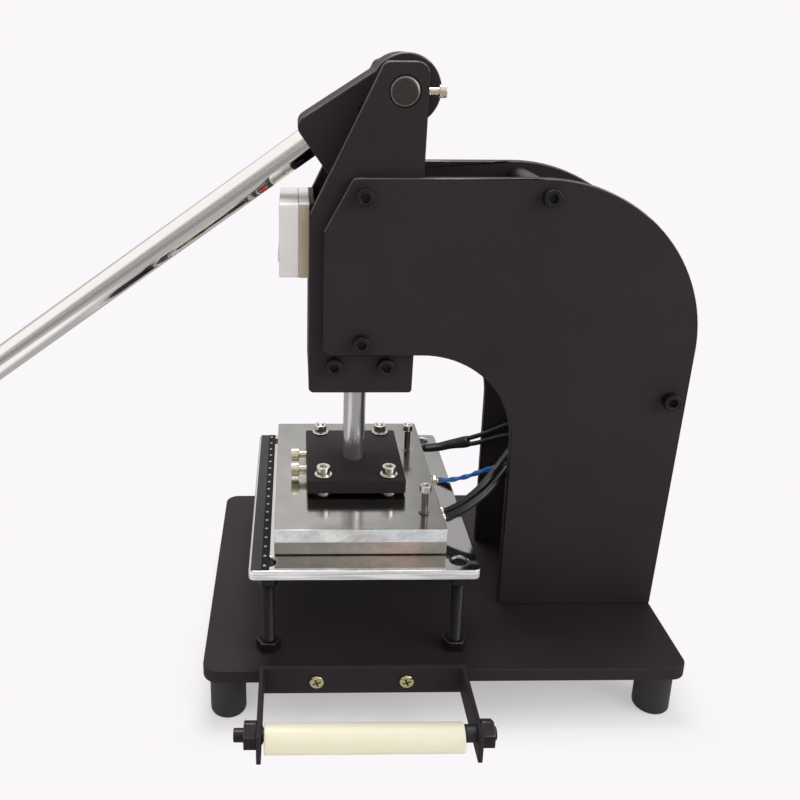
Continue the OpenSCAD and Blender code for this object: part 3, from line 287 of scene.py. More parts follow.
# The four black leads: the far pair in its sleeve, and a heater lead and an earth lead on the near side.
far_lead = swept_lead("far_heater_lead", far_route, far_diameter, sleeving)
far_return = swept_lead("far_return_lead", return_route, far_diameter, sleeving)
near_lead = swept_lead("near_heater_lead", near_route, near_diameter, sleeving)
earth_lead = swept_lead("earth_lead", earth_route, near_diameter, sleeving)
for lead in (far_lead, far_return):
    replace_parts(lead, "heater_lead_far")
for lead in (near_lead, earth_lead):
    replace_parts(lead, "heater_leads_near")

# Thermocouple wire: two thin wires in blue PVC, twisted together, from the fitting in the heater's end.
# They run under the black leads on their way into the column.
# PVC: smooth and half glossy, a clear blue that is a shade paler where it is stretched.
blue_pvc, tree, coat = new_finish("blue_pvc", {"Roughness": 0.38})
clouded(tree, coat, 6, "#1d5ea8", "#2f7cc9")
blue_route = [
    (55.7, -6, 70.2), (58, -6, 70.2), (64, -5.8, 70.4), (70, -5, 71.2), (76, -4, 72.3),
    (82, -2.5, 73.9), (89, -0.5, 75.3), (96, 1.5, 76.6), (103, 3, 77.4), (110, 4.4, 76),
    (116, 5, 71.2), (121, 5, 63.5), (124.5, 5, 54), (126.5, 5, 45), (127, 5, 37),
    (127, 5, 30)]
blue_diameter, blue_twist = 0.0034, 16
blue_lead = swept_lead("thermocouple_lead", blue_route, blue_diameter, blue_pvc, sides=24, twist=blue_twist)
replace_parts(blue_lead, "thermocouple_wire")

# Studio: a seamless white sweep, a soft box above and behind the machine, and two weaker panels in front.
# Rays that see the sweep directly, in a mirror or through glass get its paper white, and the rest a lower,
# even light. In mirrors some of the room is darker, as chrome shows it in a studio.
paper = linear("#faf7fa")


def when_seen(tree):
    """The kinds of ray, and 1 for those from the camera, a mirror or glass, 0 for light on the machine."""
    rays = add_node(tree, "ShaderNodeLightPath", {}).node.outputs
    seen = add_node(tree, "ShaderNodeMath", {0: rays["Is Camera Ray"], 1: rays["Is Glossy Ray"]},
                    operation="MAXIMUM")
    seen = add_node(tree, "ShaderNodeMath", {0: seen, 1: rays["Is Transmission Ray"]}, operation="MAXIMUM")
    return rays, seen


sky = bpy.data.worlds.new("studio")
sky.use_nodes = True
bpy.context.scene.world = sky
tree = sky.node_tree
tree.nodes["Background"].inputs["Color"].default_value = paper
rays, seen = when_seen(tree)
gaze = add_node(tree, "ShaderNodeTexCoord", {}, out="Generated")
heading = add_node(tree, "ShaderNodeSeparateXYZ", {0: gaze}).node.outputs

# Behind the camera the room is dark, with paler shelves across it.
behind = add_node(tree, "ShaderNodeVectorMath", {0: gaze, 1: Vector((-0.3, -0.94, 0.1))},
                  operation="DOT_PRODUCT")
dark_room = add_node(tree, "ShaderNodeMapRange", {"Value": behind, "From Min": 0.7, "From Max": 0.95},
                     interpolation_type="SMOOTHSTEP")
shelves = add_node(tree, "ShaderNodeTexNoise",
                   {"W": heading["Z"], "Scale": 34, "Detail": 4, "Roughness": 0.7}, noise_dimensions="1D")
shelves = add_node(tree, "ShaderNodeMapRange",
                   {"Value": shelves, "From Min": 0.38, "From Max": 0.6, "To Min": 0.2, "To Max": 0.95})
dark_room = add_node(tree, "ShaderNodeMath", {0: dark_room, 1: shelves}, operation="MULTIPLY")

# Across from it, the sweep is grey low down and on the column's side of the room.
across = add_node(tree, "ShaderNodeMapRange", {"Value": heading["Y"], "From Min": 0.3, "From Max": 0.6})
low_down = add_node(tree, "ShaderNodeMapRange",
                    {"Value": heading["Z"], "From Min": 0.33, "From Max": 0.46,
                     "To Min": 0.45, "To Max": 0.0},
                    interpolation_type="SMOOTHSTEP")
one_side = add_node(tree, "ShaderNodeMapRange",
                    {"Value": heading["X"], "From Min": 0.08, "From Max": 0.15, "To Max": 0.48},
                    interpolation_type="SMOOTHSTEP")
grey_sweep = add_node(tree, "ShaderNodeMath", {0: low_down, 1: one_side}, operation="MAXIMUM")
grey_sweep = add_node(tree, "ShaderNodeMath", {0: grey_sweep, 1: across}, operation="MULTIPLY")
dim = add_node(tree, "ShaderNodeMath", {0: dark_room, 1: grey_sweep}, operation="MAXIMUM")
dim = add_node(tree, "ShaderNodeMath", {0: dim, 1: rays["Is Glossy Ray"]}, operation="MULTIPLY")
level = add_node(tree, "ShaderNodeMapRange", {"Value": seen, "To Min": 0.5})
add_node(tree, "ShaderNodeMath", {0: level, 1: dim}, to=tree.nodes["Background"].inputs["Strength"],
         operation="SUBTRACT")

# Floor: the sweep's foot, which carries the machine and its shadow.
# Paper: white and matt. Under the base it keeps the shadow, and a few centimetres out it is the plain sweep.
# In mirrors it is dull in front of the machine, apart from a lit patch under the lever.
seamless, tree, coat = new_finish(
    "white_paper", {"Base Color": linear("#f6f4f6"), "Roughness": 0.9, "Specular IOR Level": 0.1})
rays, seen = when_seen(tree)
place = add_node(tree, "ShaderNodeTexCoord", {}, out="Object")
offset = add_node(tree, "ShaderNodeVectorMath", {0: place, 1: (base_low + base_high) / 2},
                  operation="SUBTRACT")
offset = add_node(tree, "ShaderNodeVectorMath", {0: offset}, operation="ABSOLUTE")
offset = add_node(tree, "ShaderNodeVectorMath", {0: offset, 1: (base_high - base_low) / 2},
                  operation="SUBTRACT")
beside = add_node(tree, "ShaderNodeSeparateXYZ", {0: offset}).node.outputs
away = add_node(tree, "ShaderNodeMath", {0: beside["X"], 1: beside["Y"]}, operation="MAXIMUM")
plain = add_node(tree, "ShaderNodeMapRange",
                 {"Value": away, "From Min": -0.015, "From Max": 0.03, "To Min": 0.42},
                 interpolation_type="SMOOTHSTEP")
plain = add_node(tree, "ShaderNodeMath", {0: plain, 1: seen}, operation="MULTIPLY")
forward = add_node(tree, "ShaderNodeSeparateXYZ", {0: place}, out="Y")
front = add_node(tree, "ShaderNodeMapRange",
                 {"Value": forward, "From Min": -0.2, "From Max": -0.75, "To Max": 0.7},
                 interpolation_type="SMOOTHSTEP")
from_patch = add_node(tree, "ShaderNodeVectorMath", {0: place, 1: Vector((-0.19, -0.18, 0))},
                      operation="DISTANCE")
dull = add_node(tree, "ShaderNodeMapRange",
                {"Value": from_patch, "From Min": 0.07, "From Max": 0.2, "To Max": 0.56},
                interpolation_type="SMOOTHSTEP")
dull = add_node(tree, "ShaderNodeMath", {0: front, 1: dull}, operation="MAXIMUM")
dull = add_node(tree, "ShaderNodeMath", {0: dull, 1: rays["Is Glossy Ray"]}, operation="MULTIPLY")
bright = add_node(tree, "ShaderNodeMath", {0: 1.0, 1: dull}, operation="SUBTRACT")
glow = add_node(tree, "ShaderNodeEmission", {"Color": paper, "Strength": bright})
add_node(tree, "ShaderNodeMixShader", {0: plain, 1: coat.outputs["BSDF"], 2: glow},
         to=tree.nodes["Material Output"].inputs["Surface"])
floor_reach = 30
bm = bmesh.new()
bmesh.ops.create_grid(bm, size=floor_reach)
add_piece("studio_floor", bm, seamless)

# Lamps: the soft box and the two panels. The front panel isn't seen in mirrors.
for name, spot, aim, size, watts in (
        ("overhead_box", (0.0, 0.45, 1.5), (0, 0, 0.1), 0.7, 16),
        ("front_panel_light", (-0.9, -1.5, 1.1), (0, 0, 0.15), 1.2, 7),
        ("right_panel_light", (1.5, -0.8, 0.9), (0.05, 0, 0.15), 1.2, 13)):
    lamp = bpy.data.lights.new(name, "AREA")
    lamp.shape = "SQUARE"
    lamp.size = size
    lamp.energy = watts
    holder = bpy.data.objects.new(name, lamp)
    bpy.context.scene.collection.objects.link(holder)
    holder.location = spot
    holder.rotation_euler = (Vector(aim) - Vector(spot)).to_track_quat("-Z", "Y").to_euler()
    holder.visible_glossy = name != "front_panel_light"

# Base plate: 8 mm laser-cut steel with eased edges, under black powder coat.
# Everything else stands on it or is screwed to it.

# Powder coat: pigmented polyester baked on, a satin black with a fine orange peel about 1.2 mm across
# and a slightly uneven tone and gloss over some centimetres.
black_coat, tree, coat = new_finish("black_powder_coat", {"Specular IOR Level": 0.17})
drift = clouded(tree, coat, 45, "#272123", "#302a2c", detail=4, grain=0.6)
add_node(tree, "ShaderNodeMapRange",
         {"Value": drift, "From Min": 0.3, "From Max": 0.7, "To Min": 0.52, "To Max": 0.64},
         to=coat.inputs["Roughness"])
peel = patches(tree, 1.2, detail=2)
add_node(tree, "ShaderNodeBump", {"Height": peel, "Strength": 0.16, "Distance": 0.0003},
         to=coat.inputs["Normal"])

# Painted highlight for eased edges that look up: a thin film, paler, greyer and smoother than the coat, where
# light from above catches the edge.
edge_highlight, tree, coat = new_finish("painted_edge_highlight", {"Roughness": 0.28})
clouded(tree, coat, 7, "#3a3331", "#6f6662", detail=4)


def eased(node, width, finish, segments=2, second=None, where=None):
    """The CAD piece with its sharp edges eased to a width in mm, in place of the plain one.
    A second finish goes on the faces that where() picks, or else, as a painted highlight, on the eased edges
    that look up."""
    weld, flat, crease, upward = 2e-6, radians(0.5), radians(32), 0.2
    source = frame["nodes"][node]
    bm = bmesh.new()
    bm.from_mesh(source.data)
    bmesh.ops.remove_doubles(bm, verts=bm.verts, dist=weld)
    bmesh.ops.dissolve_limit(bm, angle_limit=flat, verts=bm.verts, edges=bm.edges)
    bends = {e: e.calc_face_angle(0) for e in bm.edges if len(e.link_faces) == 2}
    for face in bm.faces:
        face.smooth = any(flat < bends.get(e, 0) < crease for e in face.edges)
    sharp = [e for e, bend in bends.items() if bend > crease]
    rounds = bmesh.ops.bevel(bm, geom=sharp, offset=width / 1000, offset_type="OFFSET", segments=segments,
                             profile=0.5, affect="EDGES", clamp_overlap=False)
    bm.normal_update()
    for face in bm.faces:
        face.material_index = 1 if where and where(face) else 0
    for face in rounds["faces"]:
        face.smooth = True
        # Eased edges that look up take the second finish: a painted highlight where light from above catches
        # them.
        if second and not where and face.normal.z > upward:
            face.material_index = 1
    piece = add_piece(node + "_eased", bm, finish, source["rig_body"])
    if second:
        piece.data.materials.append(second)
    piece.modifiers.new("even normals", "WEIGHTED_NORMAL").keep_sharp = True
    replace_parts(piece, node)
    return piece


eased("base_plate", 0.7, black_coat, 3)

# Feet: moulded black rubber bumpers, each held by a screw sunk in its underside.
# Rubber: a dull, slightly grey black with a fine moulded grain and a little dust.
moulded_rubber, tree, coat = new_finish("moulded_black_rubber", {"Roughness": 0.58})
clouded(tree, coat, 14, "#211e1f", "#2f2c2d", detail=4)
grain = patches(tree, 0.9)
add_node(tree, "ShaderNodeBump", {"Height": grain, "Strength": 0.3, "Distance": 0.0003},
         to=coat.inputs["Normal"])
eased("rubber_feet", 0.3, moulded_rubber)

# Screws, guide blocks, pins and bars: turned or cold-headed alloy steel, blackened in hot salts and oiled.
# Black oxide: a dark metal with a soft sheen, browner where the oil has gone.
black_oxide, tree, coat = new_finish("black_oxide_steel", {"Metallic": 0.5})
patch = clouded(tree, coat, 5, "#1b1818", "#2e2928", detail=5)
add_node(tree, "ShaderNodeMapRange",
         {"Value": patch, "From Min": 0.3, "From Max": 0.7, "To Min": 0.28, "To Max": 0.42},
         to=coat.inputs["Roughness"])

# Rubbed oxide: on the pin the black is worn thin, and grey steel shows; on the nuts' upper edges the same
# grey is a painted highlight.
worn_oxide_and_highlight, tree, coat = new_finish("worn_oxide_steel_and_highlight", {"Metallic": 0.95, "Roughness": 0.3})
clouded(tree, coat, 2.5, "#45423f", "#66615d", detail=5)
for name, width in (
        ("foot_screws", 0.3), ("base_screws", 0.25), ("frame_screws", 0.35), ("tie_bars", 0.4),
        ("panel_screws", 0.25), ("lower_guide", 0.5), ("upper_guide", 0.5), ("pivot_spacers", 0.4),
        ("drive_pin", 0.4), ("ram_yoke", 0.4), ("ram_screw", 0.2)):
    eased(name, width, black_oxide)

# Side plates, head cheeks and panels: cut from sheet, powder coated in one batch with the base.
# The cheeks are screwed inside the side plates and carry the lever's pin in their ears.
# Their eased edges that look up get the painted edge highlight, except round the pin's hole, where the edge
# lies in shadow and keeps the plain coat.
pin_low, pin_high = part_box("pivot_pin")
pin_axis = (pin_low + pin_high) / 2
hole_rim = 0.0025
pin_reach = hole_rim + (pin_high.z - pin_low.z) / 2
for name in ("side_plate_right", "side_plate_left", "head_cheek_right", "head_cheek_left"):
    plate = eased(name, 0.7, black_coat, 3, edge_highlight)
    for face in plate.data.polygons:
        if Vector((face.center.x - pin_axis.x, face.center.z - pin_axis.z)).length < pin_reach:
            face.material_index = 0
for name in ("front_panel", "rear_panel"):
    eased(name, 0.3, black_coat)

# Bushes: sintered bronze pressed in the guide blocks, with the ram sliding in them.
# Bronze: a warm brown metal, mottled and dulled by oil.
oiled_bronze, tree, coat = new_finish("oiled_bronze", {"Metallic": 1.0, "Roughness": 0.36})
clouded(tree, coat, 2.5, "#8a6a3c", "#b08d57", detail=4)
eased("ram_bushes", 0.3, oiled_bronze)

# Power inlet and rocker switch, in the rear panel, and the foil axle's spacers: black mouldings.
# Glass-filled nylon: dark and half matt, with faint specks of glass, drawn coarser than life to show.
black_nylon, tree, coat = new_finish("black_nylon", {"Roughness": 0.42})
clouded(tree, coat, 0.8, "#1a1919", "#2b2a2a")
for name in ("power_inlet", "switch_housing", "switch_rocker", "axle_spacers"):
    eased(name, 0.3, black_nylon)

# Terminal block: a moulding that stands on the base, hidden between the side plates.
# Cream thermoset: pale, hard and half matt, with the fine specks of its filler.
cream_thermoset, tree, coat = new_finish("cream_thermoset", {"Roughness": 0.5})
clouded(tree, coat, 1.5, "#cbc4b4", "#ddd7c9")
eased("terminal_block", 0.4, cream_thermoset)

# Controller: a small temperature controller in a two-part moulded case, light grey in front, khaki behind.
# Its dark window shows the measured and the set temperature, and four keys stand under it.
# Light grey ABS: soft and satin, with the fine texture of a spark-eroded mould, drawn at 0.6 mm to show.
grey_abs, tree, coat = new_finish("light_grey_abs", {"Roughness": 0.33})
clouded(tree, coat, 25, "#d0cdc9", "#e1deda")
spark = patches(tree, 0.6, detail=2)
add_node(tree, "ShaderNodeBump", {"Height": spark, "Strength": 0.12, "Distance": 0.0002},
         to=coat.inputs["Normal"])

# Printed front film: a satin black sheet with a faint grain, stuck on round the window and the keys.
front_film, tree, coat = new_finish("black_front_film", {"Roughness": 0.45})
clouded(tree, coat, 0.7, "#161516", "#211f20", detail=2)
straight_on, lean = 0.99, 0.6


def front_face(face):
    return face.normal.x < -straight_on


eased("controller_case", 0.8, grey_abs, 3, front_film, front_face)

# Khaki ABS: the back half, a drab and warm half-matt tone. Its top faces take the front's light grey.
khaki_abs, tree, coat = new_finish("khaki_abs", {"Roughness": 0.42})
clouded(tree, coat, 18, "#9b8f7a", "#b0a48d")


def facing_up(face):
    return face.normal.z > lean


eased("controller_back", 0.4, khaki_abs, 2, grey_abs, facing_up)
for name in ("key_1", "key_2", "key_3", "key_4"):
    eased(name, 0.5, grey_abs, 3)

# Smoked acrylic: nearly black and glossy until something lights up behind it.
smoked_acrylic, tree, coat = new_finish("smoked_acrylic", {"Roughness": 0.12})
clouded(tree, coat, 10, "#140c0e", "#22161a", detail=2)
eased("controller_window", 0.2, smoked_acrylic)

# Lit digits: seven bars of light for each numeral, slanted a little, red above and orange below.
# A bar's ends are given in parts of the numeral's width and height.
bars = {"a": (0, 1, 1, 1), "b": (1, 1, 1, 0.5), "c": (1, 0.5, 1, 0), "d": (0, 0, 1, 0), "e": (0, 0.5, 0, 0),
        "f": (0, 1, 0, 0.5), "g": (0, 0.5, 1, 0.5)}
lit_bars = {"0": "abcdef", "1": "bc", "5": "afgcd"}
slant, numeral_width, bar_width = 0.12, 0.52, 0.13
numeral_spacing, numeral_shift, bar_gap = 1.65, 0.3, 0.55
glow_lift, glow_depth = 0.00004, 0.00006
window_low, window_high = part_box("controller_window")
window_mid = (window_low + window_high) / 2
rows = (("150", "#ff4a36", 3.1, 5.0), ("150", "#ff6a3c", -3.6, 4.0))
for row, (word, colour, lift, tall) in enumerate(rows):
    glow = new_finish("digit_glow_%d" % row, {
        "Base Color": linear(colour), "Emission Color": linear(colour),
        "Emission Strength": 0.4, "Roughness": 0.3})[0]
    wide, bar = tall * numeral_width, tall * bar_width
    bm = bmesh.new()
    for column, digit in enumerate(word):
        left = (len(word) / 2 - column) * wide * numeral_spacing - wide * numeral_shift
        for letter in lit_bars[digit]:
            x0, z0, x1, z1 = bars[letter]
            start = Vector((x0 * wide + z0 * tall * slant, z0 * tall))
            end = Vector((x1 * wide + z1 * tall * slant, z1 * tall))
            along = (end - start).normalized()
            side = Vector((-along.y, along.x)) * bar / 2
            tip = along * bar / 2
            start += along * bar * bar_gap
            end -= along * bar * bar_gap
            corners = []
            for p in (start - tip, start + side, end + side, end + tip, end - side, start - side):
                across = window_mid.y + (left - p.x) / 1000
                height = window_mid.z + (lift + p.y - tall / 2) / 1000
                corners.append(bm.verts.new((window_low.x - glow_lift, across, height)))
            bm.faces.new(corners)
    bmesh.ops.solidify(bm, geom=bm.faces[:], thickness=glow_depth)
    bmesh.ops.recalc_face_normals(bm, faces=bm.faces)
    add_piece("display_digits_%d" % row, bm, glow, "frame")

# Table: a 6 mm aluminium plate, ground bright on top and sawn at its edges, on four threaded legs.
# Ground aluminium: a near mirror that blurs what stands on it, with fine straight lines along the long side.
# The lines are drawn 0.5 mm apart, coarser than life, so that they show.
ground_aluminium, tree, coat = new_finish("ground_aluminium", {"Metallic": 1.0})
clouded(tree, coat, 22, "#cccbc7", "#deddda", detail=4)
lines = patches(tree, 0.5, stretch=(1.0, 0.02, 1.0))
add_node(tree, "ShaderNodeMapRange",
         {"Value": lines, "From Min": 0.3, "From Max": 0.7, "To Min": 0.05, "To Max": 0.1},
         to=coat.inputs["Roughness"])
add_node(tree, "ShaderNodeBump", {"Height": lines, "Strength": 0.06, "Distance": 0.00005},
         to=coat.inputs["Normal"])

# Sawn aluminium: the plate's edges, bright and matt, with the saw's marks running along them.
sawn_aluminium, tree, coat = new_finish("sawn_aluminium", {"Metallic": 0.45, "Roughness": 0.34})
lines = patches(tree, 1.1, detail=4, stretch=(0.03, 0.03, 1.0))
clear = add_node(tree, "ShaderNodeMapRange", {"Value": lines, "From Min": 0.38, "From Max": 0.6})
add_node(tree, "ShaderNodeMix", {"Factor": clear, 6: linear("#cfd0cd"), 7: linear("#ffffff")},
         to=coat.inputs["Base Color"], data_type="RGBA")
add_node(tree, "ShaderNodeBump", {"Height": lines, "Strength": 0.15, "Distance": 0.0001},
         to=coat.inputs["Normal"])


def upright(face):
    return abs(face.normal.z) < lean


table = eased("table_plate", 0.5, ground_aluminium, 3, sawn_aluminium, upright)

# Countersunk aluminium: the rims of the leg holes, turned by hand, in a darker grey than the plate.
countersunk, tree, coat = new_finish("countersunk_aluminium", {"Metallic": 1.0, "Roughness": 0.3})
clouded(tree, coat, 2, "#5f5d59", "#a8a6a1", detail=4)
table.data.materials.append(countersunk)
legs_low, legs_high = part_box("table_legs")
leg_radius, rim_width, level_top = 0.004, 0.0032, 0.95
leg_axes = [Vector((x, y)) for x in (legs_low.x + leg_radius, legs_high.x - leg_radius)
            for y in (legs_low.y + leg_radius, legs_high.y - leg_radius)]
for face in table.data.polygons:
    from_leg = min((face.center.xy - axis).length for axis in leg_axes)
    if face.normal.z < level_top and from_leg < leg_radius + rim_width:
        face.material_index = 2

# Legs and nuts: M8 studding cut to length, a nut on the base and a nut under the table on each.
# Cut thread: the same black steel, duller than a turned face and worn here and there.
threaded_steel, tree, coat = new_finish("black_threaded_steel", {"Metallic": 0.6, "Roughness": 0.36})
clouded(tree, coat, 3, "#141112", "#282423", detail=4)


def cut_thread(bm, axis, low, high, radius, pitch, depth, sides=20, steps=4):
    """A threaded bar, closed at both ends: its crest climbs one pitch in each turn."""
    count = round((high - low) / pitch * steps)
    rings = []
    for i in range(count + 1):
        z = low + (high - low) * i / count
        rings.append([])
        for k in range(sides):
            climb = (z / pitch - k / sides) % 1
            reach = radius - depth * (1 if i in (0, count) else abs(2 * climb - 1))
            a = 2 * pi * k / sides
            rings[-1].append(bm.verts.new((axis.x + reach * cos(a), axis.y + reach * sin(a), z)))
    skin(bm, rings)


leg_pitch, leg_groove = 0.00125, 0.0007
bm = bmesh.new()
for axis in leg_axes:
    cut_thread(bm, axis, legs_low.z, legs_high.z, leg_radius, leg_pitch, leg_groove)
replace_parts(add_piece("threaded_legs", bm, threaded_steel, "frame"), "table_legs")
# The leg nuts' upper edges take the rubbed grey as a painted highlight.
eased("leg_nuts", 0.4, black_oxide, 2, worn_oxide_and_highlight)

# Ruler: a strip of dark anodised aluminium stuck along the table's front edge.
# A black band is printed along its inner side, with a white dot on it for each 10 mm.
# Anodised: an even dark grey, half matt, a little rubbed.
grey_strip, tree, coat = new_finish("grey_anodised_strip", {"Roughness": 0.45, "Specular IOR Level": 0.3})
clouded(tree, coat, 8, "#252426", "#323133", detail=4)
eased("ruler_strip", 0.12, grey_strip)

# Printing inks: a matt black, and a thin white that the black shows through.
white_ink, tree, coat = new_finish("white_printing_ink", {"Roughness": 0.6})
clouded(tree, coat, 0.5, "#939392", "#b9b9b7", detail=2)
black_ink, tree, coat = new_finish("black_printing_ink", {"Roughness": 0.6, "Specular IOR Level": 0.15})
clouded(tree, coat, 3, "#090809", "#131213")
ruler_low, ruler_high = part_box("ruler_strip")
band_width, ink = 0.0046, 0.00004
dot_count, dot_pitch, dot_radius, dot_sides, dot_shift = 18, 0.01, 0.0009, 16, 0.0005
middle = Vector((ruler_high.x - band_width / 2, (ruler_low.y + ruler_high.y) / 2, ruler_high.z + ink / 2))
bm = bmesh.new()
band = Matrix.Diagonal((band_width, ruler_high.y - ruler_low.y, ink, 1))
bmesh.ops.create_cube(bm, size=1, matrix=Matrix.Translation(middle) @ band)
add_piece("ruler_band", bm, black_ink, "frame")
bm = bmesh.new()
for i in range(dot_count):
    along = ram_axis.y + (i - (dot_count - 1) / 2) * dot_pitch
    spot = Vector((middle.x - dot_shift, along, ruler_high.z + ink + ink / 2))
    bmesh.ops.create_cone(bm, cap_ends=True, radius1=dot_radius, radius2=dot_radius, depth=ink,
                          segments=dot_sides, matrix=Matrix.Translation(spot))
add_piece("ruler_dots", bm, white_ink, "frame")

# Foil roller: a turned nylon tube that spins on a black axle between the arms of a bent bracket.
# The bracket is 2.5 mm strip, powder coated, held to the base by two cross-head screws.
# Ivory nylon: warm, half matt and slightly see-through at its skin, with faint marks of the lathe.
eased("roller_bracket", 0.5, black_coat)
ivory_nylon, tree, coat = new_finish("ivory_nylon", {
    "Roughness": 0.42, "Subsurface Weight": 0.15, "Subsurface Radius": (0.003, 0.0025, 0.0015)})
clouded(tree, coat, 30, "#e6e1c3", "#f0edd4")
marks = patches(tree, 1.5, stretch=(1.0, 0.15, 0.15))
add_node(tree, "ShaderNodeBump", {"Height": marks, "Strength": 0.08, "Distance": 0.0002},
         to=coat.inputs["Normal"])
eased("foil_roller", 0.2, ivory_nylon)
eased("roller_axle", 0.6, black_oxide)
# The axle nuts' upper edges take the rubbed grey as a painted highlight.
eased("axle_nuts", 0.4, black_oxide, 2, worn_oxide_and_highlight)

# Plated screws: passivated zinc, yellow on the two cross-head screws, cream on the small adjusters
# and nearly white on the cap screws over the heater.
# Yellow zinc: bright and thin, a pale gold that deepens over a few millimetres.
yellow_zinc, tree, coat = new_finish("yellow_zinc_plate", {"Metallic": 1.0, "Roughness": 0.13})
clouded(tree, coat, 4, "#dccb86", "#f6f0cf")

# Oil and dust stay in the crossed recess of each head and darken it, and painted shade darkens it further.
recess_dirt_and_shade, tree, coat = new_finish("dirty_and_shaded_zinc_recess", {"Metallic": 0.6, "Roughness": 0.4})
clouded(tree, coat, 1.5, "#2a2413", "#5d5230")
screws_low, screws_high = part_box("bracket_screws")
head_radius = (screws_high.z - screws_low.z) / 2
cross_reach, cross_core = 0.7 * head_radius, 0.3 * head_radius
dome_depth, cross_top, cross_floor = 0.0003, 0.0011, 0.002


def in_recess(face):
    spot = face.calc_center_median()
    across = min(abs(spot.x - screws_low.x - head_radius), abs(spot.x - screws_high.x + head_radius))
    aside = Vector((across, spot.z - (screws_low.z + screws_high.z) / 2)).length
    depth = spot.y - screws_low.y
    on_arms = aside < cross_reach and cross_top < depth < cross_floor
    in_core = aside < cross_core and depth > dome_depth
    return on_arms or in_core


# The crossed recess of each head takes the darker zinc: dirt and painted shade.
eased("bracket_screws", 0.12, yellow_zinc, 2, recess_dirt_and_shade, in_recess)

# Cream zinc: the same plate with a thinner tint, warm and a little clouded.
cream_zinc, tree, coat = new_finish("cream_zinc_plate", {"Metallic": 0.85, "Roughness": 0.22})
clouded(tree, coat, 3, "#d6caa9", "#f0e8d2", detail=4)
for name in ("plate_lock_screws", "thermocouple", "pin_lock_screw"):
    eased(name, 0.3, cream_zinc)

# Bright zinc: nearly white and glossy, hazed here and there by handling.
zinc_plate, tree, coat = new_finish("bright_zinc_plate", {"Metallic": 1.0})
tint = clouded(tree, coat, 3, "#d2cec3", "#efece3", detail=4)
add_node(tree, "ShaderNodeMapRange",
         {"Value": tint, "From Min": 0.3, "From Max": 0.7, "To Min": 0.12, "To Max": 0.24},
         to=coat.inputs["Roughness"])
for name, width in (("plate_screws", 0.35), ("plate_washers", 0.25), ("plate_spacers", 0.2)):
    eased(name, width, zinc_plate)

# Die plate screws: two small cap screws that stand high over the heater, so their threads show.
# Oiled zinc: duller and darker than the heads, with oil and dust in the thread and painted shade over the
# threaded shank.
oiled_and_shaded_zinc, tree, coat = new_finish("oiled_and_shaded_zinc_plate", {"Metallic": 0.9, "Roughness": 0.35})
clouded(tree, coat, 1.5, "#544d46", "#948d83", detail=4)
die_low, die_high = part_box("die_plate_screws")
die_head_radius, die_head_height = (die_high.x - die_low.x) / 2, 0.0041
die_radius, die_pitch, die_groove, die_sides = 0.00205, 0.0007, 0.0003, 16
over_block = 0.0002
thread_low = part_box("heater_block")[1].z + over_block
thread_high = die_high.z - die_head_height


def under_head(face):
    return face.calc_center_median().z < thread_high


# Under the heads the shanks take the oiled zinc, darkened partly by painted shade.
eased("die_plate_screws", 0.25, zinc_plate, 2, oiled_and_shaded_zinc, under_head)
bm = bmesh.new()
for y in (die_low.y + die_head_radius, die_high.y - die_head_radius):
    axis = Vector((die_low.x + die_head_radius, y))
    cut_thread(bm, axis, thread_low, thread_high, die_radius, die_pitch, die_groove, die_sides)
add_piece("die_screw_threads", bm, oiled_and_shaded_zinc, "ram")

# Heater cartridges: bright steel sheaths in the block's bores, one on each side.
# The far one ends in the same black sleeving as its leads.


def far_side(face):
    return face.calc_center_median().y > ram_axis.y


eased("heater_cartridges", 0.3, zinc_plate, 2, sleeving, far_side)

# Lever: a coated steel block forked over the ram's yoke, on a blackened pin held in the two ears.
# A chromed steel bar is pressed in its front face and ends in a ribbed rubber grip.
# Its eased edges that look up get the painted edge highlight.
eased("lever_block", 0.9, black_coat, 3, edge_highlight)

# Worn steel: the pin's chamfers, where the black has gone and the grey metal is scuffed.
worn_steel, tree, coat = new_finish("worn_steel", {"Metallic": 0.9, "Roughness": 0.4})
clouded(tree, coat, 2, "#6c6863", "#97928b", detail=5)
least_lean, most_lean = 0.2, 0.97


def on_chamfer(face):
    return least_lean < abs(face.normal.y) < most_lean


eased("pivot_pin", 0.8, worn_oxide_and_highlight, 2, worn_steel, on_chamfer)

# Hard chrome: a clear mirror, very slightly yellow, with a faint haze where hands have been.
hard_chrome, tree, coat = new_finish("hard_chrome", {"Base Color": linear("#fbfbf4"), "Metallic": 1.0})
haze = patches(tree, 9, detail=5)
add_node(tree, "ShaderNodeMapRange",
         {"Value": haze, "From Min": 0.3, "From Max": 0.7, "To Min": 0.05, "To Max": 0.09},
         to=coat.inputs["Roughness"])
eased("lever_rod", 0.6, hard_chrome)
eased("lever_grip", 0.2, moulded_rubber)

# Ram: a centreless-ground steel shaft in the two bushes, with the coated ram plate screwed under it.
# The plate carries the heater on four cap screws with washers.
# Ground steel: an even grey that reflects softly, with faint marks round the shaft, 0.8 mm apart to show.
ground_steel, tree, coat = new_finish("ground_steel", {"Metallic": 0.9, "Roughness": 0.18})
clouded(tree, coat, 0.8, "#cfcdcd", "#e0dede", stretch=(0.1, 0.1, 1.0))
eased("ram_shaft", 0.4, ground_steel)
eased("ram_plate", 0.4, black_coat)

# Heater block and die plate: milled aluminium, the block brushed on top, the die plate tinted by heat.
# Brushed aluminium: fine streaks along the block, and reflections that blur a little.
# The streaks are drawn 0.6 mm apart, coarser than life, so that they show.
brushed_aluminium, tree, coat = new_finish("brushed_aluminium", {"Metallic": 1.0})
clouded(tree, coat, 16, "#a3a39d", "#bcbcb6", detail=5)
lines = patches(tree, 0.6, detail=4, stretch=(0.03, 1.0, 1.0))
add_node(tree, "ShaderNodeMapRange",
         {"Value": lines, "From Min": 0.3, "From Max": 0.7, "To Min": 0.1, "To Max": 0.19},
         to=coat.inputs["Roughness"])
add_node(tree, "ShaderNodeBump", {"Height": lines, "Strength": 0.03, "Distance": 0.0001},
         to=coat.inputs["Normal"])

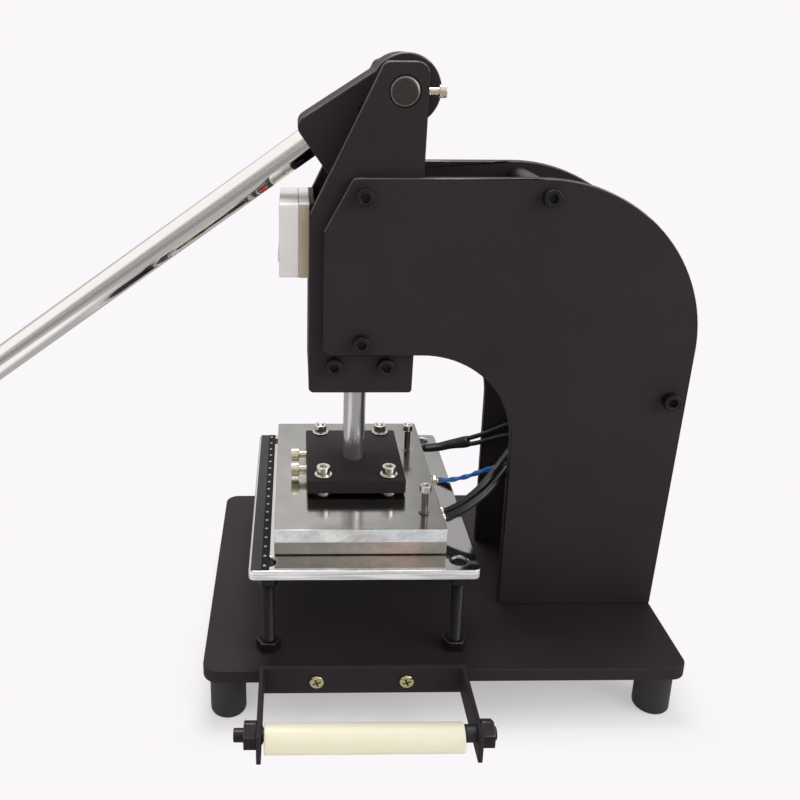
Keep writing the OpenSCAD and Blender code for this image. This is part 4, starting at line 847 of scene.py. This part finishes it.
# Milled aluminium: the block's sides, nearly white and half matt, with the cutter's slanted marks,
# worn patches of about a centimetre and a few warm stains.
milled_aluminium, tree, coat = new_finish("milled_aluminium", {"Metallic": 0.38, "Roughness": 0.34})
place = add_node(tree, "ShaderNodeTexCoord", {}, out="Object")
slant = add_node(tree, "ShaderNodeMapping",
                 {"Vector": place, "Rotation": (0, radians(55), 0), "Scale": (1.0, 1.0, 9.0)},
                 vector_type="TEXTURE")
marks = add_node(tree, "ShaderNodeTexNoise", {"Vector": slant, "Scale": 1000 / 1.3, "Detail": 5})
marks = add_node(tree, "ShaderNodeMapRange", {"Value": marks, "From Min": 0.36, "From Max": 0.64})
worn = patches(tree, 11, detail=5, grain=0.6)
worn = add_node(tree, "ShaderNodeMapRange", {"Value": worn, "From Min": 0.4, "From Max": 0.6})
marks = add_node(tree, "ShaderNodeMix", {"Factor": 0.62, 2: marks, 3: worn})
shade = add_node(tree, "ShaderNodeMix", {"Factor": marks, 6: linear("#c8cfd1"), 7: linear("#fcfbf8")},
                 data_type="RGBA")
stain = patches(tree, 7, stretch=(0.25, 0.25, 1.0))
stain = add_node(tree, "ShaderNodeMapRange",
                 {"Value": stain, "From Min": 0.5, "From Max": 0.72, "To Max": 0.4})
add_node(tree, "ShaderNodeMix", {"Factor": stain, 6: shade, 7: linear("#bda497")},
         to=coat.inputs["Base Color"], data_type="RGBA")
eased("heater_block", 0.4, brushed_aluminium, 2, milled_aluminium, upright)

# Heat-tinted aluminium: dull and streaked along the plate, grey in places and pinkish from heat in others.
tinted_aluminium, tree, coat = new_finish("heat_tinted_aluminium", {"Metallic": 0.5, "Roughness": 0.3})
stain = patches(tree, 8, detail=5, grain=0.65, stretch=(0.3, 0.3, 1.0))
cool = add_node(tree, "ShaderNodeMix", {"Factor": stain, 6: linear("#747168"), 7: linear("#b4b3a9")},
                data_type="RGBA")
warm = add_node(tree, "ShaderNodeMix", {"Factor": stain, 6: linear("#967e72"), 7: linear("#dccabf")},
                data_type="RGBA")
tint = patches(tree, 26, detail=4, grain=0.6)
tint = add_node(tree, "ShaderNodeMapRange", {"Value": tint, "From Min": 0.4, "From Max": 0.6})
add_node(tree, "ShaderNodeMix", {"Factor": tint, 6: cool, 7: warm},
         to=coat.inputs["Base Color"], data_type="RGBA")
eased("die_plate", 0.4, tinted_aluminium)
